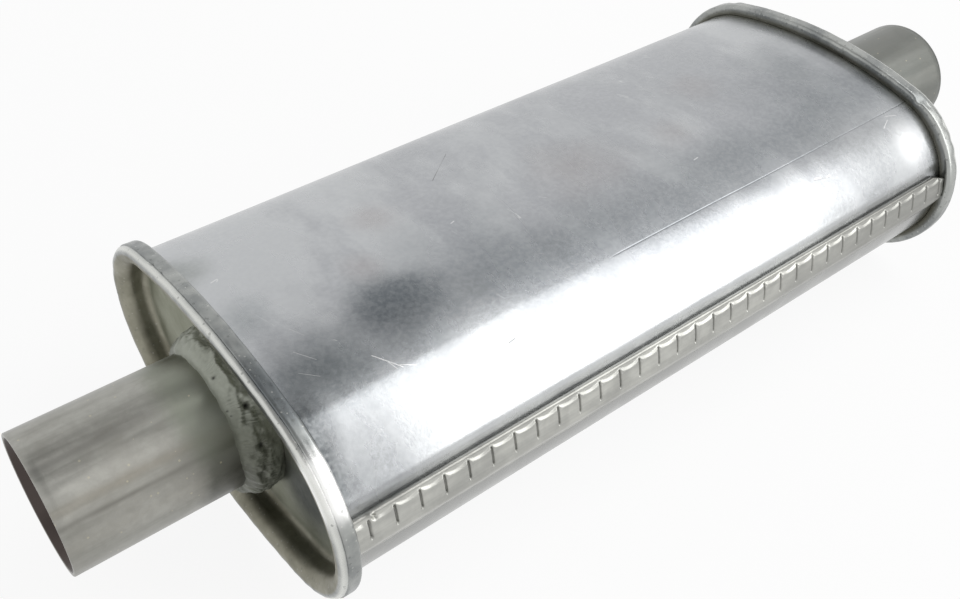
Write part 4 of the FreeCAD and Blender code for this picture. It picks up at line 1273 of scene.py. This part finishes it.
pipe_steel, tree, shader, spot_place = new_metal("pipe_steel")
drawn = use_group(tree, streaks, spot_place, Scale=150.0, Stretch=(0.10, 1.0, 1.0))
colour = blend_colour(tree, drawn, tone(144, 144, 138), tone(170, 169, 163))
smoke = use_group(tree, clouds, spot_place, Scale=34.0, Low=0.40, High=0.64)
colour = lay(tree, colour, smoke, 0.35, (122, 120, 112))
for degrees, size, strength, shade in PIPE_REFLECTIONS_AND_STAIN:
    turn = math.radians(degrees)
    centre = (STREAK_PLACE, -PIPE_RADIUS * math.cos(turn), PIPE_RADIUS * math.sin(turn))
    patch = soft_patch(tree, spot_place, centre, size, size * 1.2, 0.0, STREAK_SQUEEZE)
    colour = lay(tree, colour, patch, strength, shade)
off_middle = maths(tree, "ABSOLUTE", maths(tree, "SUBTRACT", along(tree, spot_place, "X"), MIDDLE))
wander_mask = use_group(tree, clouds, spot_place, Scale=60.0, Low=0.2, High=0.8)
off_middle = maths(tree, "ADD", off_middle, maths(tree, "MULTIPLY", wander_mask, 6 * MM))
stain = between(tree, off_middle, MIDDLE - 47 * MM, MIDDLE - 37 * MM, 0.75, 0.0)
# The collar is painted darker towards the bottom, as painted shade
stain_lower_shade = between(tree, along(tree, spot_place, "Z"), -4 * MM, 22 * MM)
stain_and_shade_colour = blend_colour(tree, stain_lower_shade, tone(60, 62, 56), tone(132, 137, 124))
colour = blend_colour(tree, stain, colour, stain_and_shade_colour)
# The outlet stub is painted darker, as painted shade
outlet_shade = between(tree, along(tree, spot_place, "X"), MIDDLE, OUTLET_FACE, 0.0, 0.7)
colour = blend_colour(tree, outlet_shade, colour, tone(98, 102, 99))
mottle = use_group(tree, clouds, spot_place, Scale=240.0, Low=0.35, High=0.65)
colour = lay(tree, colour, mottle, 0.22, (126, 125, 119))
flecks = use_group(tree, specks, spot_place, Scale=420.0, Size=0.16, Rarity=0.88)
colour = lay(tree, colour, flecks, 0.40, (198, 190, 164))
# The bore is painted dark, as painted shade inside the tube
colour = blend_colour(tree, carried(tree, "bore"), colour, tone(76, 69, 66))
paint(tree, shader, colour, level(tree, drawn, 0.30, 0.42), drawn, 0.04 * MM, 0.5)
print("pipe finish nodes:", len(tree.nodes))

# %% [markdown]
# The bead is matt and greenish grey. Its top is painted lighter than its flanks, a painted highlight,
# and its pits are painted dark, as painted shade.

# %% Weld material
weld_metal, tree, shader, spot_place = new_metal("weld_metal", metallic=0.35)
colour = cloudy(tree, spot_place, 110.0, 0.35, 0.65, (96, 98, 88), (124, 127, 115))
# Painted highlight: the top of the bead is painted lighter
painted_top_light = between(tree, along(tree, spot_place, "Z"), 13 * MM, 28 * MM, 0.0, 0.85)
colour = blend_colour(tree, painted_top_light, colour, tone(184, 188, 176))
# Painted shade in the bead's pits
colour = blend_colour(tree, carried(tree, "pits"), colour, tone(30, 31, 27))
skin = use_group(tree, clouds, spot_place, Scale=520.0, Low=0.3, High=0.7)
paint(tree, shader, colour, level(tree, skin, 0.45, 0.62), skin, 0.08 * MM, 0.7)
print("weld finish nodes:", len(tree.nodes))

# %% [markdown]
# ## Finishes that only show when the part is opened
# The tubes, plugs and baffles inside are plain aluminised steel, and the packing is pale glass fibre.

# %% Inner materials
inner_steel, tree, shader, spot_place = new_metal("inner_steel")
drawn = use_group(tree, streaks, spot_place, Scale=160.0, Stretch=(0.08, 1.0, 1.0))
colour = blend_colour(tree, drawn, tone(126, 127, 125), tone(158, 159, 156))
paint(tree, shader, colour, level(tree, drawn, 0.36, 0.50), drawn, 0.03 * MM, 0.4)

glass_wool, tree, shader, spot_place = new_metal("glass_wool", metallic=0.0)
fibres = use_group(tree, streaks, spot_place, Scale=900.0, Stretch=(1.0, 0.15, 0.4))
tufts = use_group(tree, clouds, spot_place, Scale=70.0, Low=0.3, High=0.7)
colour = blend_colour(tree, fibres, tone(196, 186, 150), tone(226, 219, 190))
colour = lay(tree, colour, tufts, 0.35, (180, 166, 120))
paint(tree, shader, colour, 0.9, fibres, 0.3 * MM, 0.8)
print("materials:", [material.name for material in bpy.data.materials])

# %% [markdown]
# ## Lay the seam row
# With its material ready, the row can be made. The modifier's inputs are set by the identifiers that
# Blender gave their sockets, before the object is evaluated for the first time, and the result is
# then kept as a plain mesh.

# %% Run the tree and keep its mesh
ends_mesh = bpy.data.meshes.new("seam_ends")
shape = bmesh.new()
for strip in (first_strip, last_strip):
    shape.from_mesh(strip.data)
shape.to_mesh(ends_mesh)
shape.free()
ends = bpy.data.objects.new("seam_ends", ends_mesh)

row_settings = {
    "Tile": tile,
    "Ends": ends,
    "Count": STAKES - 3,
    "First Place": FIRST_STAKE + STAKE_PITCH,
    "Pitch": STAKE_PITCH,
    "Wander": 0.26 * MM,
    "Wander Scale": 180.0,
    "Seed": 4.0,
    "Material": seam_steel,
}
row_holder = bpy.data.objects.new("seam_holder", bpy.data.meshes.new("seam_holder"))
scene.collection.objects.link(row_holder)
modifier = row_holder.modifiers.new("row", "NODES")
modifier.node_group = row_tree
for item in row_tree.interface.items_tree:
    if item.in_out == "INPUT" and item.name in row_settings:
        modifier[item.identifier] = row_settings[item.name]
row_mesh = bpy.data.meshes.new_from_object(row_holder.evaluated_get(bpy.context.evaluated_depsgraph_get()))
row_mesh.name = "lock_seam"
lock_seam = bpy.data.objects.new("lock_seam", row_mesh)
scene.collection.objects.link(lock_seam)
for helper in (row_holder, tile, first_strip, last_strip, ends):
    bpy.data.objects.remove(helper)
for polygon in row_mesh.polygons:
    polygon.use_smooth = True
print("lock seam faces:", len(row_mesh.polygons))

# %% [markdown]
# ## Numbers for the materials
# Some finishes need to know more than where a point is. Inside its mouth a head stayed duller than
# on the rolled rim, whose lip is worn bright and also given a painted sheen. The pressed marks of the
# seam, the top of its fold, the hairline and the weld's pits are painted darker as shade, and so is a
# stub's bore. Each point of these meshes gets a number for that, which the material reads as an
# attribute.

# %% Write the attributes
SHELTER_TOP = 2.7 * MM
SHELTER_EDGE = 1.3 * MM
# How dark the painted shade at the top of the seam's fold is
FOLD_SHADE = 0.5
LIP_CREST = 4.0 * MM
LIP_CREST_WIDE = 0.8 * MM
LIP_BACK = 2.3 * MM
LIP_EASE = 0.4 * MM
FOLD_SHADE_LOW = 0.7 * MM
FOLD_SHADE_EASE = 0.5 * MM
# A bead mark counts as a pit from this height down, and is painted as shade in this share of its size
PIT_LEAST = -0.65
PIT_SHARE = 0.7


def write_mask(piece, label, measure):
    """Give every point of a piece a number that a material can read."""
    attribute = piece.data.attributes.new(label, "FLOAT", "POINT")
    for vertex, item in zip(piece.data.vertices, attribute.data):
        item.value = measure(vertex.co)


def off_oval(place):
    """Return how far a point stands off the true oval."""
    y, z = abs(place.y), abs(place.z)
    if math.atan2(z + crown_centre, y) > joint_angle and y / (z + crown_centre) < flank_centre / crown_centre:
        return math.hypot(y, z + crown_centre) - CROWN_RADIUS
    return math.hypot(y - flank_centre, z) - FLANK_RADIUS


def lip_wear_and_sheen(place):
    """Return how far a point of a head lies on its lip's crest, worn and given a painted sheen."""
    depth = min(place.x - INLET_FACE, OUTLET_FACE - place.x)
    return hump(off_oval(place), LIP_CREST, LIP_CREST_WIDE) * smooth((LIP_BACK - depth) / LIP_EASE)


def in_bore(place):
    """Return 1 for a point on a stub's inside."""
    at_mouth = min(place.x - INLET_MOUTH, OUTLET_MOUTH - place.x) < MOUTH_BEVEL / 2
    return 1.0 if math.hypot(place.y, place.z) < PIPE_RADIUS - PIPE_WALL / 2 and not at_mouth else 0.0


def bead_pits(place):
    """Return how far a point of the inlet bead lies in one of its pits."""
    degrees = math.degrees(math.atan2(place.z, place.y)) % 360
    depth = (place.x - INLET_FACE) / MM
    total = 0
    for mark_angle, mark_depth, size, rise in INLET_MARKS:
        aside = math.radians(degrees - mark_angle) * (PIPE_RADIUS + BEAD_CROWN) / MM
        total += dimple(aside, depth - mark_depth, size * PIT_SHARE) if rise < PIT_LEAST else 0
    return min(1.0, total)


def head_shelter(place):
    """Return how far a point of a head lies inside its mouth."""
    offset = off_oval(place)
    wall = smooth((SHELTER_TOP - offset) / SHELTER_EDGE)
    plate = smooth((WALL_OFFSET - offset) / RECESS_RADIUS)
    return (wall + plate) / 2


def seam_groove(place):
    """Return the painted shade of the seam: in a pressed mark and at the top of the fold."""
    lift = math.atan2(place.z, -place.y - flank_centre) * FLANK_RADIUS
    share = (place.x - FIRST_STAKE) / STAKE_PITCH + 0.5
    mark = stake_mask(share % 1.0, lift) if 0 < share < STAKES else 0.0
    return max(mark, FOLD_SHADE * smooth((lift - FOLD_LIFT + FOLD_SHADE_LOW) / FOLD_SHADE_EASE))


def shell_hairline(place):
    """Return how near a point of the shell is to the hairline."""
    if place.y > 0 or place.z < 0:
        return 0.0
    run = math.atan2(place.z, -place.y - flank_centre) * FLANK_RADIUS
    return in_hairline(place.x, run)


for rim in (inlet_rim, outlet_rim):
    write_mask(rim, "shelter", head_shelter)
    write_mask(rim, "wear_and_sheen", lip_wear_and_sheen)
write_mask(inlet_bead, "pits", bead_pits)
for stub in (inlet_stub, outlet_stub):
    write_mask(stub, "bore", in_bore)
write_mask(lock_seam, "groove", seam_groove)
write_mask(shell, "hairline", shell_hairline)
print("masks written")

# %% [markdown]
# ## Hand the pieces over
# Every piece rides on the one body, takes its material and hides the solids that it stands for. The
# solids that stay get their materials here too.

# %% Ride, replace and paint
VISIBLE = (
    (shell, shell_steel, "shell_steel", ("outer_shell",)),
    (lock_seam, seam_steel, "shell_steel", ()),
    (inlet_rim, head_steel, "head_steel", ("inlet_head",)),
    (outlet_rim, head_steel, "head_steel", ("outlet_head",)),
    (inlet_stub, pipe_steel, "pipe_steel", ("inlet_pipe",)),
    (outlet_stub, pipe_steel, "pipe_steel", ("outlet_pipe",)),
    (inlet_bead, weld_metal, "weld_metal", ("inlet_weld",)),
    (outlet_bead, weld_metal, "weld_metal", ("outlet_weld",)),
)
for piece, material, slot_name, nodes in VISIBLE:
    piece.data.materials.clear()
    piece.data.materials.append(material)
    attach(piece, "root")
    if nodes:
        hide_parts(*nodes)

replaced = {node for row in VISIBLE for node in row[3]}
for name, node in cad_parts.items():
    if name in replaced:
        continue
    finish = glass_wool if name.endswith("packing") else inner_steel
    finish = weld_metal if name.endswith("tacks") else finish
    for material_slot in node.material_slots:
        material_slot.material = finish
print("pieces:", len(VISIBLE), "solids kept:", len(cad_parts) - len(replaced))

# %% [markdown]
# ## Floor, light and world
# A plain pale floor carries the object's shadow. One big soft lamp from the seam's side makes the
# long highlight on the shoulder. The world is white where the camera or a reflection sees it, but for
# a greyer ceiling that the top of the shell mirrors, and lower where it only lights, so nothing burns
# out.

# %% Floor and world
FLOOR_SIZE = 6.0
floor_mesh = bpy.data.meshes.new("floor")
half = FLOOR_SIZE / 2
floor_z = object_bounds()[0].z
floor_mesh.from_pydata(
    [(-half, -half, floor_z), (half, -half, floor_z), (half, half, floor_z), (-half, half, floor_z)],
    [],
    [(0, 1, 2, 3)],
)
floor = bpy.data.objects.new("floor", floor_mesh)
scene.collection.objects.link(floor)


def mix_shaders(tree, factor, under, over):
    """Mix two shaders by a factor."""
    mix = add_node(tree, "ShaderNodeMixShader")
    for index, value in enumerate((factor, under, over)):
        feed(tree, mix.inputs[index], value)
    return mix.outputs[0]


def white_when_seen(tree, seen_shader, lit_shader, target):
    """Show one shader to the camera and to reflections, and the other to the rest of the light."""
    path = add_node(tree, "ShaderNodeLightPath")
    seen = maths(tree, "ADD", path.outputs["Is Camera Ray"], path.outputs["Is Glossy Ray"])
    seen = maths(tree, "ADD", seen, path.outputs["Is Transmission Ray"])
    feed(tree, target, mix_shaders(tree, maths(tree, "MINIMUM", seen, 1.0), lit_shader, seen_shader))


WORLD_LIGHT = 0.5
CEILING_LOW = 0.71
CEILING_HIGH = 0.93
CEILING_TONE = 0.47
world = bpy.data.worlds.new("studio")
scene.world = world
world.use_nodes = True
tree = world.node_tree
lit = tree.nodes["Background"]
lit.inputs["Color"].default_value = (1.0, 1.0, 1.0, 1.0)
lit.inputs["Strength"].default_value = WORLD_LIGHT
upward = along(tree, add_node(tree, "ShaderNodeTexCoord").outputs["Generated"], "Z")
seen_room = add_node(tree, "ShaderNodeBackground", in_Color=(1.0, 1.0, 1.0, 1.0))
seen_strength = between(tree, upward, CEILING_LOW, CEILING_HIGH, 1.0, CEILING_TONE)
feed(tree, seen_room.inputs["Strength"], seen_strength)
white_when_seen(tree, seen_room.outputs[0], lit.outputs[0], tree.nodes["World Output"].inputs["Surface"])

# %% Paint the floor
FLOOR_WHITE = 0.9
floor_paint, tree, shader, spot_place = new_metal("floor_paint", metallic=0.0)
shader.inputs["Base Color"].default_value = (0.92, 0.92, 0.92, 1.0)
shader.inputs["Roughness"].default_value = 0.9
glow = add_node(tree, "ShaderNodeEmission", in_Color=(1.0, 1.0, 1.0, 1.0), in_Strength=1.0)
pale = mix_shaders(tree, FLOOR_WHITE, shader.outputs[0], glow.outputs[0])
white_when_seen(tree, pale, shader.outputs[0], tree.nodes["Material Output"].inputs["Surface"])
floor.data.materials.append(floor_paint)
print("floor at", round(floor_z / MM, 2), "mm")

# %% [markdown]
# The lamp is a long soft box, rolled a little so that its far end drops away. That roll is what lets
# the highlight on the shoulder fade towards the far end, and it keeps the lamp out of the pipe.

# %% Lamp
LAMP_AIM = Vector((0.22, -0.05, 0.03))
LAMP_AZIMUTH = math.radians(305)
LAMP_ELEVATION = math.radians(40)
LAMP_DISTANCE = 1.25
LAMP_ASIDE = 0.24
LAMP_UP = 0.10
LAMP_ROLL = math.radians(-19)
LAMP_WIDE = 0.8
LAMP_LONG = 2.6
LAMP_POWER = 15.0
soft = bpy.data.lights.new("soft_box", "AREA")
soft.shape = "RECTANGLE"
soft.size = LAMP_WIDE
soft.size_y = LAMP_LONG
soft.energy = LAMP_POWER
lamp = bpy.data.objects.new("soft_box", soft)
scene.collection.objects.link(lamp)
lamp_way = Vector((
    math.cos(LAMP_AZIMUTH) * math.cos(LAMP_ELEVATION),
    math.sin(LAMP_AZIMUTH) * math.cos(LAMP_ELEVATION),
    math.sin(LAMP_ELEVATION),
))
lamp_side = Vector((0, 0, 1)).cross(lamp_way).normalized()
lamp_up = lamp_way.cross(lamp_side)
lamp.location = LAMP_AIM + lamp_way * LAMP_DISTANCE + lamp_side * LAMP_ASIDE + lamp_up * LAMP_UP
lamp.rotation_mode = "QUATERNION"
lamp.rotation_quaternion = (-lamp_way).to_track_quat("-Z", "Y") @ Quaternion((0, 0, 1), LAMP_ROLL)
print("lamp at", [round(v, 2) for v in lamp.location])
